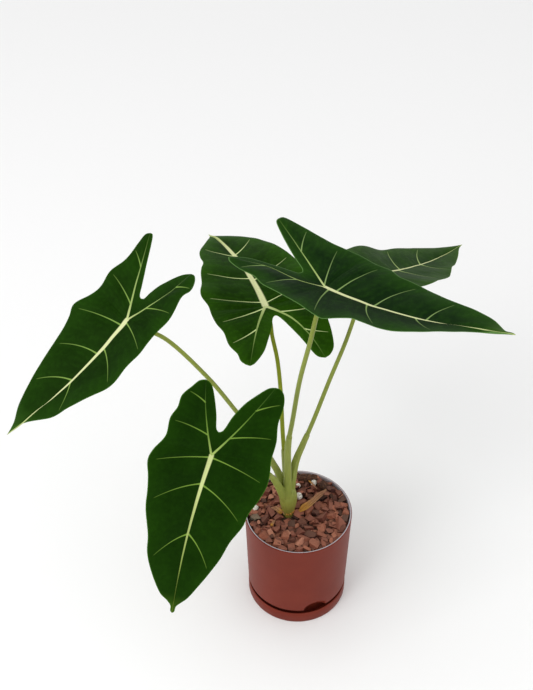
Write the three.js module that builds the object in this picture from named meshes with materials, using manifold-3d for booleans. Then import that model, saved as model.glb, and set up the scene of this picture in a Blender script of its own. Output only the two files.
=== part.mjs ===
// An alocasia with five arrow-shaped, pale-veined blades, growing in a round pot on its saucer.
// Millimetres, +Z up. The origin is the middle of the saucer's underside, and +X is the side
// that the longest blade, blade_3, reaches out to.

import * as THREE from "three";
import { mergeVertices } from "three/addons/utils/BufferGeometryUtils.js";
import Module from "manifold-3d";

// ---------------------------------------------------------------- driving dimensions

const CLEARANCE = 0.3; // between pieces that rest on or in each other
const SEGMENTS = 48; // sides of the round pot and saucer

const POT = {
  rimZ: 132,
  rimRadius: 60,
  skirtZ: 22, // lower edge of the outer wall, just over the saucer's rim
  skirtRadius: 56.7,
  wall: 2.2,
  footRadius: 46,
  footZ: 3.3,
  floor: 2.6,
  shoulderZ: 30, // where the foot meets the outer wall
  drainHoles: 6,
  drainRadius: 4,
  drainRing: 30,
  rimEdge: 0.8, // bevels on the rim, outside and inside
  rimInnerEdge: 0.6,
};

const SAUCER = { height: 16.1, radius: 56.6, wall: 1.3, floor: 3, edge: 1.2, rimEdge: 0.3, draft: 0.2 };

// The finger scoop in the pot's lower edge, through which water is poured into the saucer.
const SCOOP = { bearing: 21, halfWidth: 14, depth: 7.4, height: 12.6, shell: 2, bond: 0.5 };

const SOIL = { top: 115, bottom: 33 };

const GRAVEL = {
  bottom: 115.3,
  bed: 124.4,
  stoneZ: 126.6,
  rings: [
    { radius: 17, count: 10 },
    { radius: 27, count: 16 },
    { radius: 37.5, count: 22 },
    { radius: 48.5, count: 28 },
  ],
  stone: { least: 4.4, most: 6.2, narrow: 0.75, wide: 1.05, squash: 0.72, tilt: 0.35 },
  scatter: { along: 0.6, across: 1, up: 0.8 }, // along as a share of the stones' spacing
  seed: 7,
};

// Loose bits among the stones: middle and half sizes.
const PUMICE = [
  { at: [0.6, 38, 130], size: [2.6, 3, 2.8] },
  { at: [18.8, 42.4, 130.2], size: [3.4, 3.4, 3.4] },
  { at: [-48.4, 5.4, 130], size: [3.6, 4.2, 3.4] },
  { at: [1.4, 22.6, 130.4], size: [3.3, 4.4, 4.6] },
];
const BARK = [
  { at: [11, 49.4, 130.6], size: [11.5, 3.4, 4] },
  { at: [29.4, 38, 130], size: [4.6, 5.8, 3.2] },
];

// Papery remains of old leaf bases, lying on the gravel: the middle line and the half width.
const DRY_SHEATHS = [
  { line: [[1, -1, 131.4], [6.5, 3.2, 132], [12.5, 8, 132.4], [24.8, 20.8, 132.6], [36, 33, 132.4]],
    halfWidth: 3.4 },
  { line: [[-19.5, -2.5, 131.3], [-24.5, 1.8, 131.9], [-29.5, 4.8, 130.9]], halfWidth: 2.6 },
];
const DRY_THICKNESS = 0.9;
const DRY_TAPER = [0.12, 0.92]; // where the strip starts and ends on half a sine wave

// The swollen base of the stem, from which every leaf stalk rises.
const CROWN = {
  x: -11.5,
  y: 2.4,
  profile: [[0, 92], [4.5, 94], [6, 102], [6.2, 126], [6.8, 131], [8, 137], [9, 142], [9.7, 148],
    [9.8, 155], [8.6, 162], [0, 168]],
  hole: 7.4, // bored through the stones, a little wider than the stem's foot
  under: 0.3, // free depth of the hole below the crown
};

// Leaf stalks: the middle line from the crown to the blade, the stalk's radius at its foot and
// at the blade, and how far up the pale sheath reaches, as a share of the line.
const PETIOLES = [
  {
    line: [[-14, 2, 143], [-20, 1, 184], [-30, 0, 213.5], [-48, 0, 257], [-66.5, 0, 290], [-94.5, -1, 340],
      [-134.5, -1, 393], [-153, -0.5, 404.5]],
    radius: [2.3, 1.8],
    sheath: { reach: 0.27, radius: 4.6 },
  },
  {
    line: [[-12, 4, 143], [-15, 11, 187], [-18.4, 24, 237], [-20.4, 36, 279], [-24.4, 48, 319],
      [-29.8, 56, 345], [-32.4, 61, 362]],
    radius: [2.5, 2.1],
    sheath: { reach: 0.3, radius: 4.2 },
  },
  {
    line: [[-12, 0, 143], [-13, -7, 205], [-13, -12, 253], [-9, -17, 296], [-3, -25, 360], [5, -32, 414],
      [12, -40, 466]],
    radius: [2.7, 2.2],
    sheath: { reach: 0.36, radius: 5 },
  },
  {
    line: [[-10, 3, 143], [-7.4, 8, 174], [-3, 15, 200], [3.8, 20, 219], [14.8, 28, 249], [30.8, 41, 296],
      [47, 54, 341], [59.6, 66, 385]],
    radius: [2.6, 2],
    sheath: { reach: 0.33, radius: 4.8 },
  },
  {
    line: [[-14, 1, 143], [-21, -8, 177], [-30, -22, 213], [-48, -42, 258], [-68, -58, 294],
      [-84, -68, 308]],
    radius: [2.4, 1.9],
    sheath: { reach: 0.4, radius: 4.6 },
  },
];
const STALK_SIDES = 10;
const STALK_STEPS = 12;
const SHEATH_SIDES = 10;
const SHEATH_STEPS = 8;
const SHEATH_TAPER = 1.4; // above 1, the sheath narrows faster towards its top
const SHEATH_WALL = 0.9; // thickness of a sheath round the stalk that stands in it
const SOCKET_DEPTH = 6;
const STALK_BEND = 9; // the last stretch, along which the stalk stands square to the blade

const BLADE = {
  thickness: 0.8,
  keel: 1.9, // how far the midrib stands out under the blade at the stalk
  lobeKeel: 1.3,
  ridge: 0.45, // how far a side vein stands out under the blade
  puff: 1, // how far the blade swells between two side veins
  wave: 1.3, // how far the margin waves up and down
  waves: 4.5,
  veinBow: 2.6, // how far a side vein sags back from a straight line
  bowStart: 20, // nearer the junction than this, and on the lobes, side veins are straighter
  keelTaper: 0.8,
  keelWidth: 2.6,
  keelShare: 0.18, // the most of a row's width that the keel takes
  bowWidth: 40, // a side vein shorter than this sags less
  creaseRadius: 2,
  columns: [0.3, 0.53, 0.77, 1],
  innerColumns: [0.5, 1],
};

// One entry per blade. junction is where the stalk joins the blade; heading, pitch and roll turn
// the midrib and the blade, in degrees. droop, curl, lobeDroop and arch bend it, as shares of its
// length, and fold is how steeply the left and right halves rise from the midrib. left and right
// are the margins from the tip to the lobe's end, seen from above with the tip ahead: u along the
// midrib from the junction, v to the left. innerLeft and innerRight go on from the lobe's end to
// the sinus. veins lists where the side veins leave the midrib and, per side, where they end on
// the margin; lobeVeins does so along the lobe's rib.
const BLADES = [
  {
    junction: [-170, -1, 417], heading: -137, pitch: -33, roll: 1, length: 158,
    droop: 0.05, curl: 0, lobeDroop: -0.07, fold: [0.25, 0.23], arch: 0.03,
    left: [[160, -36], [149, -33], [136, -23], [117, 1], [98, 14], [73, 31], [57, 40], [37, 43],
      [19, 46], [-6, 44], [-26, 49], [-48, 45], [-58, 48], [-67, 46], [-71.6, 41], [-71.5, 35]],
    right: [[160, -36], [146, -37], [129, -43], [105, -46], [79, -47], [51, -49], [32, -52],
      [19, -55], [2, -48], [-12, -45], [-28, -46], [-46, -41], [-67, -40.5], [-77, -39.5], [-81, -36]],
    innerLeft: [[-71.5, 35], [-65, 24], [-49, 9.6], [-35, 2.4], [-27, 0.6], [-24.6, -2.6]],
    innerRight: [[-81, -36], [-79, -31.5], [-57, -21], [-37, -11], [-27, -6.2], [-24.6, -2.6]],
    veins: [[79, 112, 101], [40, 61, 62], [6, 17, 22]],
    lobeVeins: [[0.25, -30, -29], [0.62, -56, -54]],
  },
  {
    junction: [-37, 65, 378], heading: 106, pitch: 0, roll: 2, length: 170,
    droop: 0.17, curl: 0.02, lobeDroop: 0.14, fold: [0.14, 0.14], arch: 0.06,
    left: [[175, 16], [165, 17], [146, 26], [122, 40], [101, 43.4], [73, 51], [52, 54], [31, 60],
      [17, 62], [0, 59.4], [-23, 58.6], [-36, 53], [-53, 51.6], [-68, 48], [-78, 44.6], [-81.6, 38.6]],
    right: [[175, 16], [166, 12], [153, -7], [136, -24], [110, -37.6], [88, -47], [68, -52.6],
      [51, -54.6], [30, -55.6], [5, -56], [-20, -55], [-39, -54], [-57, -52.6], [-75, -49], [-84, -43],
      [-87, -36.6]],
    innerLeft: [[-81.6, 38.6], [-78, 32], [-65, 20], [-49, 11], [-31, 2], [-20, -2], [-16.6, -5.4]],
    innerRight: [[-87, -36.6], [-83.6, -30.6], [-76, -27], [-58, -22], [-36, -15], [-20, -9],
      [-16.6, -5.4]],
    veins: [[106, 124, 135], [45, 65, 78], [4, 19, 27]],
    lobeVeins: [[0.15, -22, -16], [0.5, -50, -57]],
  },
  {
    junction: [17, -44, 494], heading: -37, pitch: 0, roll: -10, length: 169,
    droop: -0.19, curl: 0.04, lobeDroop: -0.23, fold: [0.23, 0.2], arch: 0.04,
    left: [[177, 16], [166, 23], [151, 29], [130, 34], [108, 38], [84, 43], [63, 46], [48, 46],
      [34, 52], [18, 53], [0, 54], [-25, 51.6], [-43, 52], [-60, 52], [-75, 49.6], [-83.6, 47],
      [-86, 42]],
    right: [[177, 16], [168, 15.6], [158, 16], [146, 8], [132, -7], [117, -19], [96, -32], [80, -38.6],
      [63, -41.6], [51, -43], [37, -56], [29, -58], [8, -54], [-14, -52], [-34, -51], [-47, -46],
      [-61, -50], [-72, -49.4], [-77.4, -44.6]],
    innerLeft: [[-86, 42], [-83.4, 36.6], [-66, 26], [-44, 14], [-32, 8], [-28.6, 4.4]],
    innerRight: [[-77.4, -44.6], [-76, -38], [-68, -24], [-52, -11], [-38, -3], [-31, 0.4], [-28.6, 4.4]],
    veins: [[97, 114, 112], [47, 71, 72], [8, 27, 21]],
    lobeVeins: [[0.16, -20, -32], [0.52, -58, -61]],
  },
  {
    junction: [67, 75, 410], heading: 39, pitch: -20, roll: -7, length: 160,
    droop: 0.06, curl: -0.13, lobeDroop: 0.05, fold: [0.15, 0.17], arch: 0.03,
    left: [[163, 13], [151, 17], [135, 23], [119, 30], [99, 34], [80, 40], [63, 43], [48, 50],
      [33, 53], [17, 52], [-5, 52], [-24, 50], [-42, 47], [-54, 43], [-61.4, 37], [-63, 31]],
    right: [[163, 13], [154, 9], [137, -4], [117, -17], [105, -23], [91, -33], [79, -40], [57, -46],
      [43, -50], [28, -50], [5, -50], [-15, -48], [-35, -46], [-54, -43], [-65, -38], [-68.6, -31.6]],
    innerLeft: [[-63, 31], [-60.4, 25], [-48, 14.5], [-36, 7.6], [-28.6, 3], [-25.6, -0.4]],
    innerRight: [[-68.6, -31.6], [-65.4, -25.4], [-48, -13], [-36, -6], [-28.6, -3.6], [-25.6, -0.4]],
    veins: [[87, 109, 98], [48, 72, 64], [6, 20, 20]],
    lobeVeins: [[0.2, -22, -26], [0.55, -45, -52]],
  },
  {
    junction: [-89, -86, 318], heading: -123, pitch: -53, roll: -38, length: 169,
    droop: 0.06, curl: -0.01, lobeDroop: 0.06, fold: [0.15, 0.17], arch: 0.04,
    left: [[170, 17], [165, 20], [152, 25], [134, 32], [115, 38], [98, 43], [80, 46], [60, 52],
      [45, 53], [29, 58], [13, 61], [-2, 59], [-14, 56], [-32, 55], [-49, 51], [-67, 50.6],
      [-77.6, 47.4], [-82, 42.6], [-82.4, 37.4]],
    right: [[170, 17], [164, 13], [158, 7], [150, -3], [129, -19], [111, -29], [93, -34],
      [67, -45], [48, -50], [33, -54.4], [19, -59], [7, -57], [-9, -50.4], [-27, -52], [-39, -48],
      [-51, -47.4], [-62, -40.6], [-68.6, -36], [-71, -30]],
    innerLeft: [[-82.4, 37.4], [-79.4, 31], [-70, 23], [-58, 14.4], [-43, 7.6], [-27.6, 3.4], [-24, -0.6]],
    innerRight: [[-71, -30], [-68, -23.4], [-58, -17], [-41, -9], [-27.6, -4.4], [-24, -0.6]],
    veins: [[83, 118, 116], [31, 60, 59], [2, 14, 19]],
    lobeVeins: [[0.24, -34, -27], [0.66, -69, -55]],
  },
];

// Rows of the blade's net between one side vein and the next, from the tip to the lobe's end.
const ROWS = { tip: 6, vein: 4, junction: 1, lobe: 3 };

// ---------------------------------------------------------------- finishes

const FINISHES = {
  terracotta: { color: "#7d3d32", roughness: 0.5, metalness: 0 },
  soil: { color: "#2c1d15", roughness: 1, metalness: 0 },
  gravel: { color: "#8a5144", roughness: 0.9, metalness: 0 },
  pumice: { color: "#e6e0d6", roughness: 0.95, metalness: 0 },
  bark: { color: "#2e1a12", roughness: 0.9, metalness: 0 },
  dry_sheath: { color: "#a07840", roughness: 0.8, metalness: 0 },
  sheath: { color: "#9aae62", roughness: 0.45, metalness: 0 },
  stalk: { color: "#8a9a48", roughness: 0.4, metalness: 0 },
  blade: { color: "#1c3a0e", roughness: 0.6, metalness: 0 },
};

const materials = Object.fromEntries(
  Object.entries(FINISHES).map(([name, finish]) => [name, new THREE.MeshStandardMaterial(finish)]),
);

// ---------------------------------------------------------------- solids

const wasm = await Module();
wasm.setup();

// A closed geometry as a solid, turned so that its faces point out.
function toSolid(geometry) {
  const bare = geometry.index ? geometry.toNonIndexed() : geometry.clone();
  for (const name of ["normal", "uv"]) bare.deleteAttribute(name);
  const merged = mergeVertices(bare, 1e-4);
  const vertProperties = merged.attributes.position.array;
  const build = (triVerts) =>
    new wasm.Manifold(new wasm.Mesh({ numProp: 3, vertProperties, triVerts }));
  const triVerts = new Uint32Array(merged.index.array);
  const solid = build(triVerts);
  return solid.volume() < 0 ? build(triVerts.reverse()) : solid;
}

function toGeometry(solid) {
  const { vertProperties, triVerts } = solid.getMesh();
  const geometry = new THREE.BufferGeometry();
  geometry.setAttribute("position", new THREE.BufferAttribute(vertProperties, 3));
  geometry.setIndex(new THREE.BufferAttribute(triVerts, 1));
  geometry.computeVertexNormals();
  return geometry;
}

// The largest of the bodies that a cut has left.
function largestBody(solid) {
  return solid.decompose().reduce((a, b) => (a.volume() > b.volume() ? a : b));
}

// A solid of revolution about +Z through (x, y), from [radius, z] points.
function turned(profile, { x = 0, y = 0, segments = SEGMENTS } = {}) {
  const points = profile.map(([radius, z]) => new THREE.Vector2(radius, z));
  const geometry = new THREE.LatheGeometry(points, segments);
  geometry.rotateX(Math.PI / 2).translate(x, y, 0);
  return toSolid(geometry);
}

function cylinder(radius, bottom, top, place = {}) {
  return turned([[0, bottom], [radius, bottom], [radius, top], [0, top]], place);
}

// ---------------------------------------------------------------- pot and saucer

function bearingPoint(degrees, radius, z) {
  const angle = THREE.MathUtils.degToRad(degrees);
  return new THREE.Vector3(radius * Math.sin(angle), -radius * Math.cos(angle), z);
}

// The ellipsoid that dishes the pot's lower edge, or, grown by a margin, backs that dish.
function scoopSolid(grow) {
  const geometry = new THREE.SphereGeometry(1, 24, 12);
  geometry.scale(SCOOP.halfWidth + grow, SCOOP.depth + grow, SCOOP.height + grow);
  geometry.rotateZ(THREE.MathUtils.degToRad(SCOOP.bearing));
  const { x, y, z } = bearingPoint(SCOOP.bearing, POT.skirtRadius, POT.skirtZ);
  return toSolid(geometry.translate(x, y, z));
}

function wallRadius(z) {
  const share = (z - POT.skirtZ) / (POT.rimZ - POT.skirtZ);
  return THREE.MathUtils.lerp(POT.skirtRadius, POT.rimRadius, share);
}

// The space inside the pot, less a clearance from its wall and floor.
function potInside(clearance, bottom, top) {
  const inner = (z) => wallRadius(z) - POT.wall - clearance;
  return turned([[0, bottom], [inner(bottom), bottom], [inner(top), top], [0, top]]);
}

function makePot() {
  const inner = (z) => wallRadius(z) - POT.wall;
  const floorTop = POT.footZ + POT.floor;
  const footInner = POT.footRadius - POT.wall;
  const body = turned([
    [0, POT.footZ],
    [POT.footRadius, POT.footZ],
    [POT.footRadius, POT.shoulderZ - POT.wall],
    [inner(POT.shoulderZ - POT.wall), POT.shoulderZ - POT.wall],
    [inner(POT.skirtZ), POT.skirtZ],
    [POT.skirtRadius, POT.skirtZ],
    [wallRadius(POT.rimZ - POT.rimEdge), POT.rimZ - POT.rimEdge],
    [POT.rimRadius - POT.rimEdge, POT.rimZ],
    [inner(POT.rimZ) + POT.rimInnerEdge, POT.rimZ],
    [inner(POT.rimZ), POT.rimZ - POT.rimInnerEdge],
    [inner(POT.shoulderZ + 1), POT.shoulderZ + 1],
    [footInner, POT.shoulderZ],
    [footInner, floorTop],
    [0, floorTop],
  ]);
  const backing = scoopSolid(SCOOP.shell).intersect(
    potInside(-SCOOP.bond, POT.skirtZ, POT.skirtZ + SCOOP.height + SCOOP.shell),
  );
  let pot = body.add(backing).subtract(scoopSolid(0));
  for (let i = 0; i < POT.drainHoles; i += 1) {
    const { x, y } = bearingPoint((i * 360) / POT.drainHoles, POT.drainRing, 0);
    pot = pot.subtract(cylinder(POT.drainRadius, 0, floorTop + 1, { x, y, segments: 12 }));
  }
  return pot;
}

function makeSaucer() {
  const inner = SAUCER.radius - SAUCER.wall;
  return turned([
    [0, 0],
    [SAUCER.radius - SAUCER.edge, 0],
    [SAUCER.radius, SAUCER.edge],
    [SAUCER.radius, SAUCER.height - SAUCER.rimEdge],
    [SAUCER.radius - SAUCER.rimEdge, SAUCER.height],
    [inner + SAUCER.rimEdge, SAUCER.height],
    [inner, SAUCER.height - SAUCER.rimEdge],
    [inner - SAUCER.draft, SAUCER.floor],
    [0, SAUCER.floor],
  ]);
}

// ---------------------------------------------------------------- soil and top dressing

const crownHole = () =>
  cylinder(CROWN.hole, CROWN.profile[0][1] - CROWN.under, POT.rimZ, { x: CROWN.x, y: CROWN.y, segments: 24 });

function makeSoil() {
  const fill = potInside(CLEARANCE, SOIL.bottom, SOIL.top);
  return fill.subtract(crownHole()).subtract(scoopSolid(SCOOP.shell + CLEARANCE));
}

// A small repeatable random source, from low to high.
function randomSource(seed) {
  let state = seed;
  return (low, high) => {
    state = (state * 16807) % 2147483647;
    return low + ((high - low) * state) / 2147483647;
  };
}

// A broken stone: a twenty-sided lump, squashed and turned at random.
function stone(random, radius) {
  const { narrow, wide, squash, tilt } = GRAVEL.stone;
  const geometry = new THREE.IcosahedronGeometry(radius, 0);
  geometry.scale(1, random(narrow, wide), squash);
  geometry.rotateX(random(-tilt, tilt)).rotateY(random(-tilt, tilt));
  return geometry.rotateZ(random(-Math.PI, Math.PI));
}

function makeGravel(loosePieces) {
  const random = randomSource(GRAVEL.seed);
  const { along, across, up } = GRAVEL.scatter;
  const bedRadius = wallRadius(GRAVEL.bottom) - POT.wall - CLEARANCE;
  let gravel = cylinder(bedRadius, GRAVEL.bottom, GRAVEL.bed, { segments: 32 });
  for (const ring of GRAVEL.rings)
    for (let i = 0; i < ring.count; i += 1) {
      const radius = random(GRAVEL.stone.least, GRAVEL.stone.most);
      const bearing = ((i + random(0, along)) * 360) / ring.count;
      const height = GRAVEL.stoneZ + random(-up, up);
      const { x, y, z } = bearingPoint(bearing, ring.radius + random(-across, across), height);
      gravel = gravel.add(toSolid(stone(random, radius).translate(x, y, z)));
    }
  gravel = gravel.intersect(potInside(CLEARANCE, GRAVEL.bottom, POT.rimZ)).subtract(crownHole());
  for (const piece of loosePieces) gravel = gravel.subtract(piece);
  return largestBody(gravel);
}

function lump({ at, size }, grow) {
  const geometry = new THREE.IcosahedronGeometry(1, 0).rotateZ(at[0]);
  geometry.scale(...size.map((half) => half + grow)).translate(...at);
  return toSolid(geometry);
}

// A flat tapering strip along a line, wider than it is thick.
function dryStrip({ line, halfWidth }, grow) {
  const taper = (share) => Math.sin(Math.PI * THREE.MathUtils.lerp(...DRY_TAPER, share)) * halfWidth + grow;
  const thin = DRY_THICKNESS / 2 + grow;
  return tube(curveThrough(line), { steps: 8, sides: 6, radius: taper, flatten: () => thin });
}

// ---------------------------------------------------------------- stem and leaf stalks

function curveThrough(points) {
  return new THREE.CatmullRomCurve3(points.map((point) => new THREE.Vector3(...point)), false, "centripetal");
}

// A closed round tube along a curve, of a radius that changes with the share of the way, from
// one share to another. flatten gives another half height, for a strip.
function tube(curve, { steps, sides, radius, from = 0, to = 1, flatten = radius }) {
  const positions = [];
  const index = [];
  const up = new THREE.Vector3(0.1, 1, 0.2).normalize();
  for (let i = 0; i <= steps; i += 1) {
    const share = THREE.MathUtils.lerp(from, to, i / steps);
    const centre = curve.getPointAt(share);
    const ahead = curve.getTangentAt(share);
    const side = new THREE.Vector3().crossVectors(up, ahead).normalize();
    const rise = new THREE.Vector3().crossVectors(ahead, side);
    for (let j = 0; j < sides; j += 1) {
      const angle = (2 * Math.PI * j) / sides;
      const point = centre
        .clone()
        .addScaledVector(side, Math.cos(angle) * radius(share))
        .addScaledVector(rise, Math.sin(angle) * flatten(share));
      positions.push(...point.toArray());
    }
  }
  for (let i = 0; i < steps; i += 1)
    for (let j = 0; j < sides; j += 1) {
      const [a, b] = [i * sides + j, i * sides + ((j + 1) % sides)];
      index.push(a, b, b + sides, a, b + sides, a + sides);
    }
  const last = steps * sides;
  for (let j = 1; j < sides - 1; j += 1) index.push(0, j + 1, j, last, last + j, last + j + 1);
  const geometry = new THREE.BufferGeometry().setIndex(index);
  geometry.setAttribute("position", new THREE.Float32BufferAttribute(positions, 3));
  return toSolid(geometry);
}

const stalkRadius = ({ radius }) => (share) => THREE.MathUtils.lerp(...radius, share);

// The stalk's line, led on so that it meets the blade's underside squarely at the junction.
function stalkCurve(petiole, blade) {
  const { junction, normal } = bladeFrame(blade);
  const under = (depth) => junction.clone().addScaledVector(normal, -depth).toArray();
  return curveThrough([...petiole.line, under(STALK_BEND), under(BLADE.keel)]);
}

function makeCrown(curves) {
  let crown = turned(CROWN.profile, { x: CROWN.x, y: CROWN.y, segments: 20 });
  PETIOLES.forEach((petiole, i) => {
    const { reach, radius } = petiole.sheath;
    const top = stalkRadius(petiole)(reach) + CLEARANCE + SHEATH_WALL;
    const taper = (share) => THREE.MathUtils.lerp(radius, top, (share / reach) ** SHEATH_TAPER);
    crown = crown.add(
      tube(curves[i], { steps: SHEATH_STEPS, sides: SHEATH_SIDES, radius: taper, to: reach }),
    );
  });
  PETIOLES.forEach((petiole, i) => {
    const { reach } = petiole.sheath;
    const depth = SOCKET_DEPTH / curves[i].getLength();
    const socket = (share) => stalkRadius(petiole)(share) + CLEARANCE;
    crown = crown.subtract(
      tube(curves[i], {
        steps: 3, sides: STALK_SIDES, radius: socket, from: reach - depth, to: reach + depth,
      }),
    );
  });
  return largestBody(crown);
}

function makePetiole(petiole, curve, bladeSpace) {
  const foot = petiole.sheath.reach - (SOCKET_DEPTH - CLEARANCE) / curve.getLength();
  const shape = { steps: STALK_STEPS, sides: STALK_SIDES, radius: stalkRadius(petiole), from: foot };
  return largestBody(tube(curve, shape).subtract(bladeSpace));
}

// ---------------------------------------------------------------- blades

function bladeFrame({ junction, heading, pitch, roll }) {
  const [turn, tilt, lean] = [heading, pitch, roll].map(THREE.MathUtils.degToRad);
  const flat = Math.cos(tilt);
  const along = new THREE.Vector3(Math.cos(turn) * flat, Math.sin(turn) * flat, Math.sin(tilt));
  const level = new THREE.Vector3(-Math.sin(turn), Math.cos(turn), 0);
  const rise = new THREE.Vector3().crossVectors(along, level);
  const across = level.multiplyScalar(Math.cos(lean)).addScaledVector(rise, Math.sin(lean));
  const normal = new THREE.Vector3().crossVectors(along, across);
  return { junction: new THREE.Vector3(...junction), along, across, normal };
}

// The midrib curves sideways from the junction to the tip.
function midribOffset(blade, u) {
  const [tipU, tipV] = blade.left[0];
  return tipV * (Math.max(u, 0) / tipU) ** 2;
}

// How high the bent blade stands over its own plane at (u, v).
function bend(blade, u, v) {
  const { length, droop, curl, lobeDroop, fold, arch } = blade;
  const ahead = Math.max(u, 0) / length;
  const back = Math.min(u, 0) / length;
  const aside = v - midribOffset(blade, u);
  const crease = Math.hypot(aside, BLADE.creaseRadius) - BLADE.creaseRadius;
  const sag = droop * ahead ** 2 + curl * ahead ** 3 + lobeDroop * back ** 2;
  return (aside > 0 ? fold[0] : fold[1]) * crease - length * (sag + arch * (aside / length) ** 2);
}

// The bent blade's own upward direction at (u, v), in its plane's terms.
function bendNormal(blade, u, v) {
  const step = 0.5;
  const slopeU = (bend(blade, u + step, v) - bend(blade, u - step, v)) / (2 * step);
  const slopeV = (bend(blade, u, v + step) - bend(blade, u, v - step)) / (2 * step);
  return new THREE.Vector3(-slopeU, -slopeV, 1).normalize();
}

const outline = (points) => new THREE.SplineCurve(points.map(([u, v]) => new THREE.Vector2(u, v)));

// The share of the margin's way at which it has come back to u.
function marginShare(margin, u) {
  let [low, high] = [0, 1];
  for (let i = 0; i < 24; i += 1) {
    const middle = (low + high) / 2;
    if (margin.getPoint(middle).x > u) low = middle;
    else high = middle;
  }
  return low;
}

// Rows from the tip to the lobe's end: where each starts on the midrib or the lobe's rib (spine:
// millimetres ahead of the junction, or less than 0 for shares of the rib) and ends on the margin.
function rowsOf(blade, side, margin) {
  const key = (spine, u, rows) => ({ spine, end: marginShare(margin, u), rows });
  const keys = [
    { spine: blade.left[0][0], end: 0, rows: ROWS.tip },
    ...blade.veins.map((vein) => key(vein[0], vein[side], ROWS.vein)),
    { spine: 0, end: 0, rows: ROWS.lobe },
    ...blade.lobeVeins.map((vein) => key(-vein[0], vein[side], ROWS.lobe)),
    { spine: -1, end: 1, rows: 0 },
  ];
  const junction = keys.length - blade.lobeVeins.length - 2;
  keys[junction - 1].rows = ROWS.junction;
  keys[junction].end = (keys[junction - 1].end + keys[junction + 1].end) / 2;
  const rows = [];
  keys.slice(0, -1).forEach((from, i) => {
    for (let j = 0; j < from.rows; j += 1) {
      const share = j / from.rows;
      rows.push({
        spine: THREE.MathUtils.lerp(from.spine, keys[i + 1].spine, share),
        end: THREE.MathUtils.lerp(from.end, keys[i + 1].end, share),
        swell: Math.sin(Math.PI * share),
        onVein: j === 0 && i > 0,
      });
    }
  });
  rows.push({ spine: -1, end: 1, swell: 0, onVein: false });
  return rows;
}

function spinePoint(blade, lobeEnd, spine) {
  if (spine >= 0) return new THREE.Vector2(spine, midribOffset(blade, spine));
  return lobeEnd.clone().multiplyScalar(-spine);
}

// How far the midrib or the lobe's rib stands out under the blade.
function keelDepth(blade, spine) {
  if (spine >= 0) return BLADE.keel * Math.max(1 - spine / blade.length, 0) ** BLADE.keelTaper;
  return BLADE.lobeKeel * (1 + spine);
}

// The net of one half blade: rows of points from the spine out to the margin.
function halfNet(blade, side) {
  const margin = outline(side === 1 ? blade.left : blade.right);
  const inner = outline((side === 1 ? blade.innerLeft : blade.innerRight).slice().reverse());
  const lobeEnd = margin.getPoint(1);
  const rows = rowsOf(blade, side, margin);
  const strip = (row, end, columns, bow, wave) => {
    const start = spinePoint(blade, lobeEnd, row.spine);
    const width = start.distanceTo(end);
    const keelShare = width > 0 ? Math.min(BLADE.keelWidth / width, BLADE.keelShare) : BLADE.keelShare;
    const shares = [0, keelShare, ...columns];
    return shares.map((share, column) => {
      const belly = 4 * share * (1 - share);
      const uv = start.clone().lerp(end, share);
      uv.x -= bow * belly * Math.min(width / BLADE.bowWidth, 1);
      const ridge = row.onVein && column > 0 ? BLADE.ridge * (1 - share) : 0;
      return {
        uv,
        raise: BLADE.puff * row.swell * belly + wave * share ** 3,
        keel: column === 0 ? keelDepth(blade, row.spine) : ridge,
      };
    });
  };
  const outer = rows.map((row) => {
    const wave = BLADE.wave * Math.sin(2 * Math.PI * BLADE.waves * row.end) * Math.sin(Math.PI * row.end);
    const bow = BLADE.veinBow * THREE.MathUtils.clamp(row.spine / BLADE.bowStart, 0, 1);
    return strip(row, margin.getPoint(row.end), BLADE.columns, bow, wave);
  });
  const lobe = rows
    .filter((row) => row.spine <= 0)
    .map((row) => strip(row, inner.getPoint(-row.spine), BLADE.innerColumns, 0, 0));
  return [outer, lobe];
}

// Joins points that share a place, and lists the net's triangles, all seen from the same side.
function weave(nets) {
  const points = [];
  const places = new Map();
  const idOf = (point) => {
    const place = point.uv.toArray().map((value) => Math.round(value * 1e3)).join();
    if (!places.has(place)) places.set(place, points.push(point) - 1);
    return places.get(place);
  };
  const cross = ([a, b, c]) => {
    const [p, q, r] = [a, b, c].map((id) => points[id].uv);
    return (q.x - p.x) * (r.y - p.y) - (q.y - p.y) * (r.x - p.x);
  };
  const triangles = nets.flatMap((net) => {
    const found = [];
    for (let i = 0; i + 1 < net.length; i += 1)
      for (let j = 0; j + 1 < net[i].length; j += 1) {
        const [a, b, c, d] = [net[i][j], net[i][j + 1], net[i + 1][j + 1], net[i + 1][j]].map(idOf);
        found.push([a, b, d], [b, c, d]);
      }
    const kept = found.filter((corners) => new Set(corners).size === 3);
    const turn = kept.reduce((sum, corners) => sum + cross(corners), 0);
    return turn > 0 ? kept : kept.map(([a, b, c]) => [c, b, a]);
  });
  return { points, triangles };
}

// Edges that only one triangle uses: the blade's rim.
function rimOf(triangles) {
  const edges = new Map();
  for (const [a, b, c] of triangles)
    for (const [from, to] of [[a, b], [b, c], [c, a]]) {
      if (edges.has(`${to},${from}`)) edges.delete(`${to},${from}`);
      else edges.set(`${from},${to}`, [from, to]);
    }
  return [...edges.values()];
}

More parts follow.
